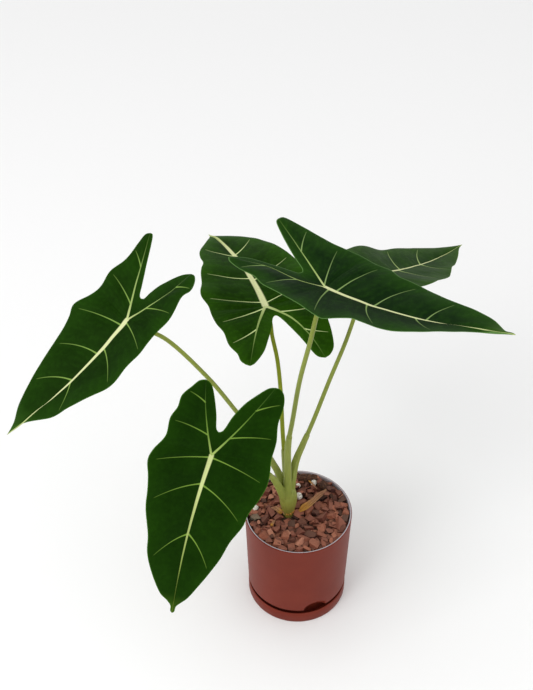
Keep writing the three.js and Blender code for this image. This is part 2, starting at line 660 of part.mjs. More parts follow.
// The blade's two faces over the same net, closed round the rim. grow thickens both faces.
function makeBlade(blade, grow) {
  const { points, triangles } = weave([...halfNet(blade, 1), ...halfNet(blade, 2)]);
  const { junction, along, across, normal } = bladeFrame(blade);
  const toWorld = new THREE.Matrix4().makeBasis(along, across, normal).setPosition(junction);
  const half = BLADE.thickness / 2 + grow;
  const face = (offset) =>
    points.flatMap((point) => {
      const { x: u, y: v } = point.uv;
      const place = new THREE.Vector3(u, v, bend(blade, u, v));
      place.addScaledVector(bendNormal(blade, u, v), offset(point) + point.raise);
      return place.applyMatrix4(toWorld).toArray();
    });
  const upper = face(() => half);
  const lower = face((point) => -half - point.keel);
  const shift = points.length;
  const index = triangles.flatMap(([a, b, c]) => [a, b, c, shift + a, shift + c, shift + b]);
  for (const [a, b] of rimOf(triangles)) index.push(b, a, shift + a, b, shift + a, shift + b);
  const geometry = new THREE.BufferGeometry().setIndex(index);
  geometry.setAttribute("position", new THREE.Float32BufferAttribute([...upper, ...lower], 3));
  return toSolid(geometry);
}

// ---------------------------------------------------------------- assembly

function addPiece(group, name, solid, finish) {
  const mesh = new THREE.Mesh(toGeometry(solid), materials[finish]);
  mesh.name = name;
  group.add(mesh);
}

function makeContainer() {
  const container = new THREE.Group();
  addPiece(container, "saucer", makeSaucer(), "terracotta");
  addPiece(container, "pot", makePot(), "terracotta");
  return container;
}

function makeGround() {
  const ground = new THREE.Group();
  const kinds = [
    { name: "pumice", pieces: PUMICE, build: lump },
    { name: "bark", pieces: BARK, build: lump },
    { name: "dry_sheath", pieces: DRY_SHEATHS, build: dryStrip },
  ];
  const spaces = kinds.flatMap(({ pieces, build }) => pieces.map((piece) => build(piece, CLEARANCE)));
  addPiece(ground, "potting_mix", makeSoil(), "soil");
  addPiece(ground, "gravel", makeGravel(spaces), "gravel");
  for (const { name, pieces, build } of kinds)
    pieces.forEach((piece, i) => addPiece(ground, `${name}_${i + 1}`, build(piece, 0), name));
  return ground;
}

function makePlant() {
  const plant = new THREE.Group();
  const curves = PETIOLES.map((petiole, i) => stalkCurve(petiole, BLADES[i]));
  addPiece(plant, "crown", makeCrown(curves), "sheath");
  BLADES.forEach((blade, i) => {
    const stalk = makePetiole(PETIOLES[i], curves[i], makeBlade(blade, CLEARANCE));
    addPiece(plant, `petiole_${i + 1}`, stalk, "stalk");
    addPiece(plant, `blade_${i + 1}`, makeBlade(blade, 0), "blade");
  });
  return plant;
}

const pottedAlocasia = new THREE.Group();
pottedAlocasia.add(makeContainer(), makeGround(), makePlant());

export default pottedAlocasia;
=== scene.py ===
"""An alocasia in a terracotta-coloured plastic pot: the leaves, stalks, stones and pot as they look.

Metres in the scene, millimetres in the tables below unless they say otherwise. +Z is up and the
origin is the middle of the saucer's underside.
"""

import math
import random

import bpy
import numpy as np
from mathutils import Matrix, Vector, noise


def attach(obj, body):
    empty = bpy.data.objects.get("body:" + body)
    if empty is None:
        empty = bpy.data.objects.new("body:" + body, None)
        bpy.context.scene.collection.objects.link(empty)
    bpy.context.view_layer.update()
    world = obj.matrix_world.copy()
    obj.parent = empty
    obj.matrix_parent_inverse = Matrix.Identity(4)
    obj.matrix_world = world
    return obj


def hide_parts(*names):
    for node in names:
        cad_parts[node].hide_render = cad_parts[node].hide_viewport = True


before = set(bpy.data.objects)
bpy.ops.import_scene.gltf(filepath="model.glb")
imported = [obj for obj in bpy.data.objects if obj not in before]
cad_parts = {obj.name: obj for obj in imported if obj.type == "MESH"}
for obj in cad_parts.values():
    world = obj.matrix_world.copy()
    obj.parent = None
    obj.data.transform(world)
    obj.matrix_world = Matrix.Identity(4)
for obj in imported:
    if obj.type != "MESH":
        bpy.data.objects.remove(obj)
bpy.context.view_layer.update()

MM = 0.001

# ---------------------------------------------------------------- sizes, in millimetres

WELD_GAP = 0.01  # points nearer than this are joined
POT_SIDES = 144
RIM_Z, RIM_RADIUS = 132, 60
SKIRT_Z, SKIRT_RADIUS = 22, 56.7
WALL = 2.2
FOOT_RADIUS, FOOT_Z, FLOOR = 46, 3.3, 2.6
SHOULDER_Z = 30
LINED_RIM = 0.7  # how far in from the rim's outer edge the pale lining starts
SAUCER_RADIUS, SAUCER_HEIGHT, SAUCER_WALL, SAUCER_FLOOR = 56.6, 16.1, 1.3, 3
SCOOP_BEARING, SCOOP_HALF_SIZES, SCOOP_SHELL = 21, (14, 7.4, 12.6), 2
DRAIN_HOLES, DRAIN_RING, DRAIN_RADIUS = 6, 30, 4

BED_Z = (115.3, 123.4)
GRAVEL_ROUNDS = [(123.8, 7.4), (126.2, 8.6), (128.4, 9.6)]  # height and spacing
GRAVEL_SEED, CHIP_KINDS, GRAVEL_TRIES = 11, 16, 5000
CROWDING = 0.85  # the share of the spacing that two stones of a round always keep
WALL_SPOT = 55  # how far from the pot's middle the ring of stones along the wall lies
HEAP, HEAP_FROM = 1.2, 50  # how much higher the stones lie along the wall, and from which radius
CUT_DEPTHS = (0.4, 0.66)  # how near to a chip's middle its sides are cut, as shares of its radius
STONE_SIZES, LARGE_STONES = ((4, 6.6), (6.6, 10)), 0.75  # radii before the cuts, and the share of large ones
STONE_WIDTH, STONE_THICKNESS = (0.6, 0.9), (0.34, 0.5)  # as shares of the radius
STONE_TILT = 0.26  # the spread, in radians
STONE_TONE, TONE_LIMITS = (0.58, 0.24), (0.2, 0.93)  # the mean shade and its spread, and its limits
DARK_STONES, DARK_TONE = 0.06, 0.12  # the share of the dark stones, and their shade
GREY_STONE, GREY_SIZES, GREY_TONE = (-49.6, -6), (9, 7, 5), 1.0  # the place, radii and shade of one
PUMICE_ROOM = 6.5  # no stone's middle lies nearer to a lump of pumice than this
STEM_ROOM = 11  # no stone's middle lies nearer to the stem than this
STEM_X, STEM_Y = -11.5, 2.4
STEM_PROFILE = [(3, 97), (6, 103), (6.2, 126), (6.8, 131), (8, 137), (9, 142), (9.7, 148), (9.8, 155),
                (8.4, 162), (4, 167)]
# Budding roots in a ring round the stem's foot: bearing, height and radius.
NUB_RING = 6.9
ROOT_NUBS = [(-14, 130.6, 1.1), (4, 130.2, 0.9), (22, 131.4, 1.3), (41, 132.6, 1.2), (58, 131.6, 0.9),
             (74, 132.4, 1.1), (30, 129.8, 0.8)]

PIT_FINENESS = 3.1  # how many times finer the pumice's pits are than its bumps
# Loose bits among the stones: middle and half sizes, and for bark how far it is turned, in radians.
PUMICE = [
    ((0.6, 38, 130), (2.6, 3, 2.8)),
    ((18.8, 42.4, 130.2), (3.4, 3.4, 3.4)),
    ((-48.4, 5.4, 130), (3.6, 4.2, 3.4)),
    ((1.4, 22.6, 130.4), (3.3, 4.4, 4.6)),
]
BARK = [
    ((11, 49.4, 130.6), (11.5, 3.4, 4), -0.06),
    ((29.4, 38, 130), (4.6, 5.8, 3.2), 0.8),
]

# Old leaf bases dried to strips, and the flakes round them: the middle lines and the half widths.
HUSKS = [
    [([(1, -1, 131.8), (6.5, 3.2, 132.6), (12.5, 8, 133), (24.8, 20.8, 133.8), (36, 33, 134.4)], 4.2)],
    [
        ([(-18.5, -3.5, 131.8), (-24.5, 1.2, 132.6), (-30.5, 4.6, 131.6)], 3.8),
        ([(-21.6, 4.6, 132.2), (-19.6, 0, 132.4), (-15.6, -5, 131.4)], 1.1),
        ([(-30.6, -21, 131), (-28.4, -17, 131.9), (-26, -12.8, 131.3)], 1.6),
        ([(12.6, 43.6, 133), (17, 37.6, 133.4), (21.6, 31.5, 132.6)], 1.1),
    ],
]
# The outline as shares of the way and of the half width there. How far the strip rolls in at its root,
# in radians from its middle, and how deep its creases are, as a share of the half width.
HUSK_OUTLINE = [(0, 0.15, 0.4, 0.68, 0.84, 1), (0.35, 0.95, 0.85, 0.95, 0.34, 0.06)]
HUSK_ROLL, HUSK_CREASE, HUSK_THICKNESS = 0.9, 0.16, 0.3

STALK_STEPS = 140
STALK_OVERLAP = 0.04  # how far the stalk reaches down into its sheath, as a share of the line
STALK_FLARE = 0.7  # how much wider the stalk ends, under the blade
STALK_LANDING = (9, 0.6)  # how far under the blade the line turns to it, and ends
SHEATH_WALL, SHEATH_TAPER = 0.7, 1.4  # its thickness where it ends, and the power by which it narrows
LIP_IN, LIP_ASIDE = 0.82, 0.62  # where the lips of a sheath's open side lie, in its radii
# Leaf stalks: the middle line, the radius at the foot and at the blade, and how far up the pale
# sheath reaches, as a share of the line, with its radius at the foot.
STALKS = [
    {
        "line": [(-14, 2, 143), (-20, 1, 184), (-30, 0, 213.5), (-48, 0, 257), (-66.5, 0, 290),
                 (-94.5, -1, 340), (-134.5, -1, 393), (-153, -0.5, 404.5)],
        "radius": (2.5, 2.1), "reach": 0.27, "sheath": 4.6,
    },
    {
        "line": [(-12, 4, 143), (-15, 11, 187), (-18.4, 24, 237), (-20.4, 36, 279), (-24.4, 48, 319),
                 (-29.8, 56, 345), (-32.4, 61, 362)],
        "radius": (2.5, 2.1), "reach": 0.3, "sheath": 4.2,
    },
    {
        "line": [(-12, 0, 143), (-13, -7, 205), (-13, -12, 253), (-9, -17, 296), (-3, -25, 360),
                 (5, -32, 414), (12, -40, 466)],
        "radius": (2.7, 2.2), "reach": 0.36, "sheath": 5,
    },
    {
        "line": [(-10, 3, 143), (-7.4, 8, 174), (-3, 15, 200), (3.8, 20, 219), (14.8, 28, 249),
                 (30.8, 41, 296), (47, 54, 341), (59.6, 66, 385)],
        "radius": (2.6, 2), "reach": 0.33, "sheath": 4.8,
    },
    {
        "line": [(-14, 1, 143), (-21, -8, 177), (-30, -22, 213), (-48, -42, 258), (-68, -58, 294),
                 (-84, -68, 308)],
        "radius": (2.4, 1.9), "reach": 0.4, "sheath": 4.6,
    },
]

# Blades. junction is where the stalk meets it, and turn its heading, pitch and roll, in degrees. droop,
# curl, lobe_droop and arch bend it, as shares of its length, and fold is how steeply its halves rise
# from the midrib. left and right are the margins, from the tip to the lobe's end: u along the midrib
# from the stalk, v to the left. The inner margins go on to the sinus, the notch between the lobes.
# veins lists, left and right, where side veins leave the midrib and where they end on the margin, as u.
# lobe_veins does so for a lobe's rib, from a share of its way. lobe_ribs are places on these ribs.
# rib is the midrib's half width at the stalk and at the tip.
BLADES = [
    {
        "junction": (-170, -1, 417), "turn": (-137, -33, 1), "length": 158,
        "droop": 0.05, "curl": 0, "lobe_droop": -0.07, "fold": (0.25, 0.23), "arch": 0.03,
        "left": [(160, -36), (149, -33), (136, -23), (117, 1), (98, 14), (73, 31), (57, 40), (37, 43),
                 (19, 46), (-6, 44), (-26, 49), (-48, 45), (-58, 48), (-67, 46), (-71.6, 41),
                 (-71.5, 35)],
        "right": [(160, -36), (146, -37), (129, -43), (105, -46), (79, -47), (51, -49), (32, -52),
                  (19, -55), (2, -48), (-12, -45), (-28, -46), (-46, -41), (-67, -40.5), (-77, -39.5),
                  (-81, -36)],
        "inner_left": [(-71.5, 35), (-65, 24), (-49, 9.6), (-35, 2.4), (-27, 0.6), (-24.6, -2.6)],
        "inner_right": [(-81, -36), (-79, -31.5), (-57, -21), (-37, -11), (-27, -6.2), (-24.6, -2.6)],
        "rib": (2.6, 0.4),
        "veins": ([(81, 112), (35, 62), (2, 18)], [(78, 104), (43, 62), (7, 23)]),
        "lobe_ribs": ([(-22.5, 13), (-47.5, 26.6)], [(-26, -12.8), (-53, -24.4)]),
        "lobe_veins": ([(0.3, -30), (0.74, -60)], [(0.2, -28), (0.62, -60)]),
    },
    {
        "junction": (-37, 65, 378), "turn": (106, 0, 2), "length": 170,
        "droop": 0.17, "curl": 0.02, "lobe_droop": 0.14, "fold": (0.14, 0.14), "arch": 0.06,
        "left": [(175, 16), (165, 17), (146, 26), (122, 38.6), (104, 43), (88, 43.6), (76, 48.4),
                 (66, 51.4), (52, 54), (43, 56.4), (31, 60.6), (22, 61.4), (8, 57.8), (-8, 58.2),
                 (-23, 57.2), (-36, 53), (-52, 52), (-64, 46.8), (-74, 46.2), (-79, 43), (-81.6, 38.6)],
        "right": [(175, 16), (166, 12), (153, -7), (136, -24), (110, -37.6), (88, -47), (68, -52.6),
                  (51, -54.6), (30, -55.6), (5, -56), (-20, -55), (-39, -54), (-57, -52.6), (-75, -49),
                  (-84, -43), (-87, -36.6)],
        "inner_left": [(-81.6, 38.6), (-78, 32), (-65, 20), (-49, 11), (-31, 2), (-20, -2),
                       (-16.6, -5.4)],
        "inner_right": [(-87, -36.6), (-83.6, -30.6), (-76, -27), (-58, -22), (-36, -15), (-20, -9),
                        (-16.6, -5.4)],
        "rib": (3.6, 1.9),
        "veins": ([(100, 127), (49, 68), (6, 21)], [(102, 137), (45, 78), (4, 27)]),
        "lobe_ribs": ([(-26, 14.6), (-54, 27.4)], [(-25, -19.5), (-56, -31)]),
        "lobe_veins": ([(0.07, -22), (0.43, -52)], [(0.2, -19), (0.55, -58)]),
    },
    {
        "junction": (17, -44, 494), "turn": (-37, 0, -10), "length": 169,
        "droop": -0.19, "curl": 0.04, "lobe_droop": -0.23, "fold": (0.23, 0.2), "arch": 0.04,
        "left": [(177, 16), (174, 17.6), (167, 18.4), (160, 23), (150, 28.6), (130, 34), (108, 38),
                 (84, 43), (63, 46), (48, 46), (34, 52), (18, 53), (0, 54), (-25, 51.6), (-43, 52),
                 (-60, 52), (-75, 49.6), (-83.6, 47), (-86, 42)],
        "right": [(177, 16), (173, 14.4), (165, 12.6), (156, 11), (146, 6.4), (132, -7), (117, -19),
                  (96, -32), (80, -38.6), (63, -41.6), (51, -43), (37, -56), (29, -58), (8, -54),
                  (-14, -52), (-34, -51), (-47, -46), (-61, -50), (-72, -49.4), (-77.4, -44.6)],
        "inner_left": [(-86, 42), (-83.4, 36.6), (-66, 26), (-44, 14), (-32, 8), (-28.6, 4.4)],
        "inner_right": [(-77.4, -44.6), (-76, -38), (-68, -24), (-52, -11), (-38, -3), (-31, 0.4),
                        (-28.6, 4.4)],
        "rib": (2.0, 0.6),
        "veins": ([(100, 114), (50, 73), (11, 28)], [(91, 119), (44, 76), (4, 25)]),
        "lobe_ribs": ([(-28, 15.6), (-57, 30)], [(-25, -12.4), (-51, -19)]),
        "lobe_veins": ([(0.04, -21), (0.53, -58)], [(0.32, -34), (0.7, -62)]),
    },
    {
        "junction": (67, 75, 410), "turn": (39, -20, -7), "length": 160,
        "droop": 0.06, "curl": -0.13, "lobe_droop": 0.05, "fold": (0.15, 0.17), "arch": 0.03,
        "left": [(163, 13), (151, 17), (135, 23), (119, 30), (99, 34), (80, 40), (63, 43), (48, 50),
                 (33, 53), (17, 52), (-5, 52), (-24, 50), (-42, 47), (-54, 43), (-61.4, 37),
                 (-63, 31)],
        "right": [(163, 13), (154, 9), (137, -4), (117, -17), (105, -23), (91, -33), (79, -40),
                  (57, -46), (43, -50), (28, -50), (5, -50), (-15, -48), (-35, -46), (-54, -43),
                  (-65, -38), (-68.6, -31.6)],
        "inner_left": [(-63, 31), (-60.4, 25), (-48, 14.5), (-36, 7.6), (-28.6, 3), (-25.6, -0.4)],
        "inner_right": [(-68.6, -31.6), (-65.4, -25.4), (-48, -13), (-36, -6), (-28.6, -3.6),
                        (-25.6, -0.4)],
        "rib": (1.8, 0.4),
        "veins": ([(86, 112), (51, 72), (6, 20)], [(87, 98), (48, 64), (6, 20)]),
        "lobe_ribs": ([(-21, 12.5), (-42.5, 23)], [(-22.5, -12.6), (-46, -23.5)]),
        "lobe_veins": ([(0.2, -22), (0.6, -45)], [(0.2, -26), (0.55, -52)]),
    },
    {
        "junction": (-89, -86, 318), "turn": (-123, -53, -38), "length": 169,
        "droop": 0.06, "curl": -0.01, "lobe_droop": 0.06, "fold": (0.15, 0.17), "arch": 0.04,
        "left": [(170, 17), (168, 18.8), (162.4, 18.6), (157, 22), (150, 26.4), (134, 32), (115, 38),
                 (98, 43), (80, 46), (60, 52), (45, 53), (29, 58), (13, 61), (-2, 59), (-14, 56),
                 (-32, 55), (-49, 51), (-67, 50.6), (-77.6, 47.4), (-82, 42.6), (-82.4, 37.4)],
        "right": [(170, 17), (167.6, 14.6), (162.4, 13), (157.6, 7.6), (150, -3), (129, -19),
                  (111, -29), (93, -34), (67, -45), (48, -50), (33, -54.4), (19, -59), (7, -57),
                  (-9, -50.4), (-27, -52), (-39, -48), (-51, -47.4), (-62, -40.6), (-68.6, -36),
                  (-71, -30)],
        "inner_left": [(-82.4, 37.4), (-79.4, 31), (-70, 23), (-58, 14.4), (-43, 7.6), (-27.6, 3.4),
                       (-24, -0.6)],
        "inner_right": [(-71, -30), (-68, -23.4), (-58, -17), (-41, -9), (-27.6, -4.4), (-24, -0.6)],
        "rib": (2.5, 0.45),
        "veins": ([(83, 118), (31, 61), (2, 14)], [(84, 118), (30, 60), (2, 19)]),
        "lobe_ribs": ([(-27, 14), (-55, 26.6)], [(-23, -12), (-48, -22.8)]),
        "lobe_veins": ([(0.27, -34), (0.67, -69)], [(0.28, -26), (0.69, -57)]),
    },
]

LEAF_THICKNESS, LEAF_EDGE_THICKNESS = 0.8, 0.35
EDGE_SLOPE, EDGE_REACH = 0.12, 0.2  # how fast it thickens from there, and how far the edge bulges
KEEL, LOBE_KEEL, KEEL_WIDTH = 1.9, 1.3, 2.6  # depth of the ribs under the blade, and their half width
RIB_RISE, SIDE_RIDGE = 0.22, 0.35  # height of the ribs on the blade, and of the side veins under it
PUFF, WAVE, WAVES = 1.7, 1.3, 4.5  # swelling between veins, and height and number of the margin's waves
UNEVEN, UNEVEN_SIZE = 0.35, 14  # height and size of the bumps that follow nothing
CREASE = 2  # how far the fold along the midrib is rounded
# The side veins bow towards the stalk, in full where the half blade is BOW_WIDTH wide. The bow begins at
# BOW_START on the midrib and is full BOW_REACH further on.
VEIN_BOW, BOW_WIDTH, BOW_START, BOW_REACH = 4.2, 40, -15, 35
LOBE_RIB_SHARE, LOBE_RIB_END = 0.46, 0.32  # of the midrib's half width, and at the lobe's end
SIDE_VEIN_HALF_WIDTH = (0.6, 0.28)  # at its root and at its end
SIDE_VEIN_FLARE, SIDE_VEIN_END = 0.6, 0.86  # the extra at its root, and the share of its way where it fades
# A blade's net: rows that follow the side veins, and columns, of which the first lie close to the rib,
# within this share of the width. A margin is about MARGIN_LENGTH long.
ROW_SPACING, COLUMNS, MARGIN_LENGTH = 1.4, 26, 300
RIB_COLUMNS, RIB_COLUMNS_SHARE = np.array([0, 0.45, 0.9, 1.4, 2.0, 2.8]), 0.35
SIDES = ("left", "right")
# What a blade's material reads at each point: the gap to the nearest rib and side vein, in its half
# widths, and the way along it, the gap to the margin, the place between veins and towards the tip.
LEAF_MAPS = ("rib_gap", "rib_way", "side_gap", "side_way", "edge_gap", "cell", "ahead")
FAR_GAP, FAR_EDGE = 40, 30  # the largest gaps that are kept, in half widths and from the margin
SPECK_ROOM, SPECK_RADIUS = 15, 0.45  # specks of dust: at most one in this room

# ---------------------------------------------------------------- looks of the blades

# The colours along the ribs: the midrib up to 0.5, and a lobe's rib from 0.55 on.
PALE = [(0.0, "#d2d6a2"), (0.32, "#d0d59f"), (0.5, "#a3b26e"), (0.55, "#bfc98c"), (0.64, "#97ab64"),
        (0.8, "#88a05a"), (1.0, "#5f7d3a")]
GREEN = [(0.0, "#bfc989"), (0.09, "#c7d28e"), (0.18, "#b1bd76"), (0.35, "#869a4a"), (0.5, "#566a22"),
         (0.55, "#9fb364"), (0.66, "#739040"), (0.8, "#5a7a2e"), (1.0, "#47682a")]
DULL = [(0.0, "#c8d19a"), (0.5, "#b4c084"), (1.0, "#8fa060")]

# A look for each upper face and, last, one for the undersides: its name, the flesh at its deepest and
# lightest, from where the tip turns to which colour, a painted sheen, the ribs, the side veins and the
# margin, whose line is partly painted highlight, the gloss, the depth of the wrinkles, which also sets the
# light and shade painted on them, and how much lighter the flesh gets towards the margin.
LEAF_LOOKS = [
    ("deep_leaf", "#0e2403", "#1c3c08", (0.8, "#30501a"), PALE, "#789647", "#3c641c", 0.05, 0.08, 0.15),
    ("bright_leaf", "#132d02", "#2a500a", (0.8, "#2a500e"), PALE, "#d2e29c", "#456c20", 0.04, 0.1, 0.2),
    ("dark_leaf", "#0d230a", "#20400f", (0.88, "#3c5a22"), PALE, "#7e985a", "#628a4a", 0.05, 0.1, 0.27),
    # The sheened leaf's flesh is painted lighter and greyer: painted sheen of the sky, met at a grazing
    # angle.
    ("sheened_leaf", "#18340a", "#304f18", (0.8, "#304f18"), PALE, "#9ab06c", "#5a7c3a", 0.09, 0.12, 0.2),
    ("front_leaf", "#0d2403", "#1a3a06", (0.88, "#3a5812"), GREEN, "#72923a", "#42701e", 0.05, 0.05, 0.12),
    ("leaf_underside", "#4f6538", "#627a48", (0.8, "#627a48"), DULL, "#93a866", "#6f8550", 0.3, 0.1, 0.15),
]

# ---------------------------------------------------------------- light and camera, in metres

SKY_STRENGTH = 0.85
# Area lights: name, place, size and power in watts. All of them look at one place.
LIGHTS = [("key", (-1.4, -1.2, 1.9), 1.4, 29), ("fill", (1.6, -0.6, 1.4), 1.6, 3)]
LIGHTS_AIM = (0, 0, 0.25)
# The tilt is in degrees from straight down, the lens in millimetres.
CAMERA_PLACE, CAMERA_TILT, LENS = (-0.0357, -0.896, 1.2077), 47.4, 64.7

# ---------------------------------------------------------------- modelling, as by hand


def metres(place):
    """Millimetres turned into metres."""
    return [value * MM for value in place]


def deselect():
    """Leaves edit mode, and selects nothing."""
    if bpy.context.object and bpy.context.object.mode != "OBJECT":
        bpy.ops.object.mode_set(mode="OBJECT")
    bpy.ops.object.select_all(action="DESELECT")


def use(*pieces):
    """Selects only these pieces, and works on the first."""
    deselect()
    for piece in pieces:
        piece.select_set(True)
    bpy.context.view_layer.objects.active = pieces[0]


def edit(piece):
    """Edit mode on this piece, with all of it selected."""
    use(piece)
    bpy.ops.object.mode_set(mode="EDIT")
    bpy.ops.mesh.select_all(action="SELECT")


def face_outward():
    """Turns all faces of the piece in hand outwards, and leaves edit mode."""
    bpy.ops.mesh.select_all(action="SELECT")
    bpy.ops.mesh.normals_make_consistent(inside=False)
    bpy.ops.object.mode_set(mode="OBJECT")


def named(name):
    """Names the piece that an operator has just added, and puts its place into its mesh."""
    piece = bpy.context.object
    piece.name = piece.data.name = name
    bpy.ops.object.transform_apply(location=True, rotation=True, scale=True)
    return piece


def apply_modifier(piece, kind, **settings):
    use(piece)
    bpy.ops.object.modifier_add(type=kind)
    modifier = piece.modifiers[-1]
    for setting, value in settings.items():
        setattr(modifier, setting, value)
    bpy.ops.object.modifier_apply(modifier=modifier.name)


def join(pieces):
    use(*pieces)
    bpy.ops.object.join()
    return pieces[0]


def delete(piece):
    use(piece)
    bpy.ops.object.delete()


def boolean(piece, tool, operation):
    """Cuts or adds another solid, which is used up."""
    apply_modifier(piece, "BOOLEAN", operation=operation, solver="EXACT", object=tool)
    delete(tool)


def draw_up(name, profile, sides=POT_SIDES, at=(0, 0)):
    """A turned solid: a filled ring, drawn from one radius and height to the next."""
    deselect()
    radius, height = profile[0]
    bpy.ops.mesh.primitive_circle_add(vertices=sides, radius=radius * MM, fill_type="NGON",
                                      location=metres((*at, height)))
    piece = named(name)
    edit(piece)
    for wider, higher in profile[1:]:
        lift = {"value": (0, 0, (higher - height) * MM)}
        bpy.ops.mesh.extrude_region_move(TRANSFORM_OT_translate=lift)
        growth = wider / radius
        bpy.ops.transform.resize(value=(growth, growth, 1), center_override=metres((*at, higher)))
        radius, height = wider, higher
    face_outward()
    return piece


def draw_tube(name, points, radii, roundness=5):
    """A capped tube along a line, of a radius that changes from point to point."""
    deselect()
    bpy.ops.curve.primitive_nurbs_path_add()
    path = bpy.context.object
    spline = path.data.splines[0]
    spline.type = "POLY"
    spline.points.add(len(points) - len(spline.points))
    for knot, place, radius in zip(spline.points, points, radii):
        knot.co = (*metres(place), 1)
        knot.radius = radius
    path.data.bevel_depth = MM
    path.data.bevel_resolution = roundness
    path.data.use_fill_caps = True
    use(path)
    bpy.ops.object.convert(target="MESH")
    return named(name)


def weld(piece):
    """Joins points that lie on one another, and turns the faces outwards."""
    edit(piece)
    bpy.ops.mesh.remove_doubles(threshold=WELD_GAP * MM)
    face_outward()


def store(piece, name, values, domain="POINT"):
    """Keeps one number for each point or face, for the materials to read."""
    attribute = piece.data.attributes.new(name, "FLOAT", domain)
    attribute.data.foreach_set("value", np.asarray(values, np.float32))


def dress(piece, *materials):
    piece.data.materials.clear()
    for material in materials:
        piece.data.materials.append(material)


def finish(piece, angle, *materials):
    """Dresses a piece and shades it smooth, with creases where faces meet at more than this angle."""
    dress(piece, *materials)
    use(piece)
    bpy.ops.object.shade_smooth_by_angle(angle=math.radians(angle))
    return piece


def bearing(degrees, radius):
    """A place on the ground at a bearing from the front, seen from above."""
    angle = math.radians(degrees)
    return radius * math.sin(angle), -radius * math.cos(angle)


# ---------------------------------------------------------------- materials

COLOURS = {"data_type": "RGBA", "output": 2}  # makes a Mix node mix its inputs 6 and 7 as colours


def linear(code):
    """The linear colour of an sRGB hex code."""
    channels = [int(code[i : i + 2], 16) / 255 for i in (1, 3, 5)]
    return (*(c / 12.92 if c <= 0.04045 else ((c + 0.055) / 1.055) ** 2.4 for c in channels), 1)


def per(millimetres):
    """The pattern scale at which one wave or cell of a pattern is this long."""
    return 1000 / millimetres


def add(tree, kind, inputs=(), operation=None, stops=None, output=0, **settings):
    """Adds a shader node and gives back one output. Its inputs, values or links, are named or come in
    the node's own order: for MapRange the value, from what and what, to what and what. operation is
    the sum of a Math or VectorMath node, and stops are the colours of a ramp.
    """
    made = tree.nodes.new("ShaderNode" + kind)
    if operation:
        made.operation = operation
    for setting, value in settings.items():
        setattr(made, setting, value)
    for socket, value in inputs.items() if isinstance(inputs, dict) else enumerate(inputs):
        if isinstance(value, bpy.types.NodeSocket):
            tree.links.new(value, made.inputs[socket])
        else:
            made.inputs[socket].default_value = value
    if stops:
        for _ in stops[2:]:
            made.color_ramp.elements.new(0.5)
        for element, (place, code) in zip(made.color_ramp.elements, stops):
            element.position = place
            element.color = linear(code)
    return made.outputs[output]


def start_material(name, **values):
    """A new material with values on its shader's own sockets, its tree and its Object coordinates."""
    material = bpy.data.materials.new(name)
    material.use_nodes = True
    tree = material.node_tree
    for socket, value in values.items():
        tree.nodes["Principled BSDF"].inputs[socket.replace("_", " ")].default_value = value
    return material, tree, add(tree, "TexCoord", output="Object")


def finish_material(material, colour, height=None, strength=0, depth=0):
    """Gives the shader its colour and, from a pattern of this depth in millimetres, its relief."""
    tree = material.node_tree
    shader = tree.nodes["Principled BSDF"]
    tree.links.new(colour, shader.inputs["Base Color"])
    if height:
        relief = add(tree, "Bump", {"Height": height, "Strength": strength, "Distance": depth * MM})
        tree.links.new(relief, shader.inputs["Normal"])
    return material


def moulded_polypropylene(name, colour, light, dark, roughness):
    """Injection-moulded polypropylene: even colour, a satin gloss and a fine sparked grain."""
    material, tree, place = start_material(name, IOR=1.49, Roughness=roughness, Specular_IOR_Level=0.12)
    cloud = add(tree, "TexNoise", {"Vector": place, "Scale": per(30), "Detail": 4})
    tint = add(tree, "ValToRGB", [cloud], stops=[(0.3, dark), (0.5, colour), (0.7, light)])
    grain = add(tree, "TexNoise", {"Vector": place, "Scale": per(0.7), "Detail": 3})
    return finish_material(material, tint, grain, 0.12, 0.1)


def crushed_porphyry():
    """Crushed red-brown porphyry: dull broken faces, each stone of its own shade, dusty on top, and
    painted shade that makes a face darker the less it turns up.
    """
    material, tree, place = start_material("crushed_porphyry", IOR=1.5, Roughness=0.85,
                                           Specular_IOR_Level=0.2)
    tone = add(tree, "Attribute", output="Fac", attribute_name="tone")
    # The stop at 0 is for the bed under the stones: near black, painted shade in the gaps.
    shades = add(tree, "ValToRGB", [tone],
                 stops=[(0.0, "#140806"), (0.12, "#301814"), (0.3, "#532a21"), (0.55, "#753f31"),
                        (0.8, "#955741"), (0.93, "#aa705a"), (1.0, "#5b5446")])
    speckle = add(tree, "TexNoise", {"Vector": place, "Scale": per(2.2), "Detail": 8, "Roughness": 0.7})
    fleck = add(tree, "MapRange", [speckle, 0.3, 0.7, 0.75, 1.25])
    upward = add(tree, "SeparateXYZ", [add(tree, "NewGeometry", output="Normal")], output="Z")
    # Painted shade and light: faces turned to the side are darker, faces turned up lighter.
    shade_by_facing = add(tree, "MapRange", [upward, 0.1, 0.95, 0.5, 1.2])
    flecked_and_shaded = add(tree, "Math", [fleck, shade_by_facing], "MULTIPLY")
    shaded = add(tree, "VectorMath", {0: shades, "Scale": flecked_and_shaded}, "SCALE")
    settled = add(tree, "MapRange", [upward, 0.6, 1, 0, 0.22])
    powdered = add(tree, "Mix", {0: settled, 6: shaded, 7: linear("#b08874")}, **COLOURS)
    return finish_material(material, powdered, speckle, 0.4, 0.3)


def mottled(name, stops, grain, depth, roughness):
    """A dull natural surface: a noise of this grain, in millimetres, that also gives its relief."""
    material, tree, place = start_material(name, Roughness=roughness)
    pattern = add(tree, "TexNoise", {"Vector": place, "Scale": per(grain), "Detail": 8, "Roughness": 0.65})
    return finish_material(material, add(tree, "ValToRGB", [pattern], stops=stops), pattern, 0.8, depth)


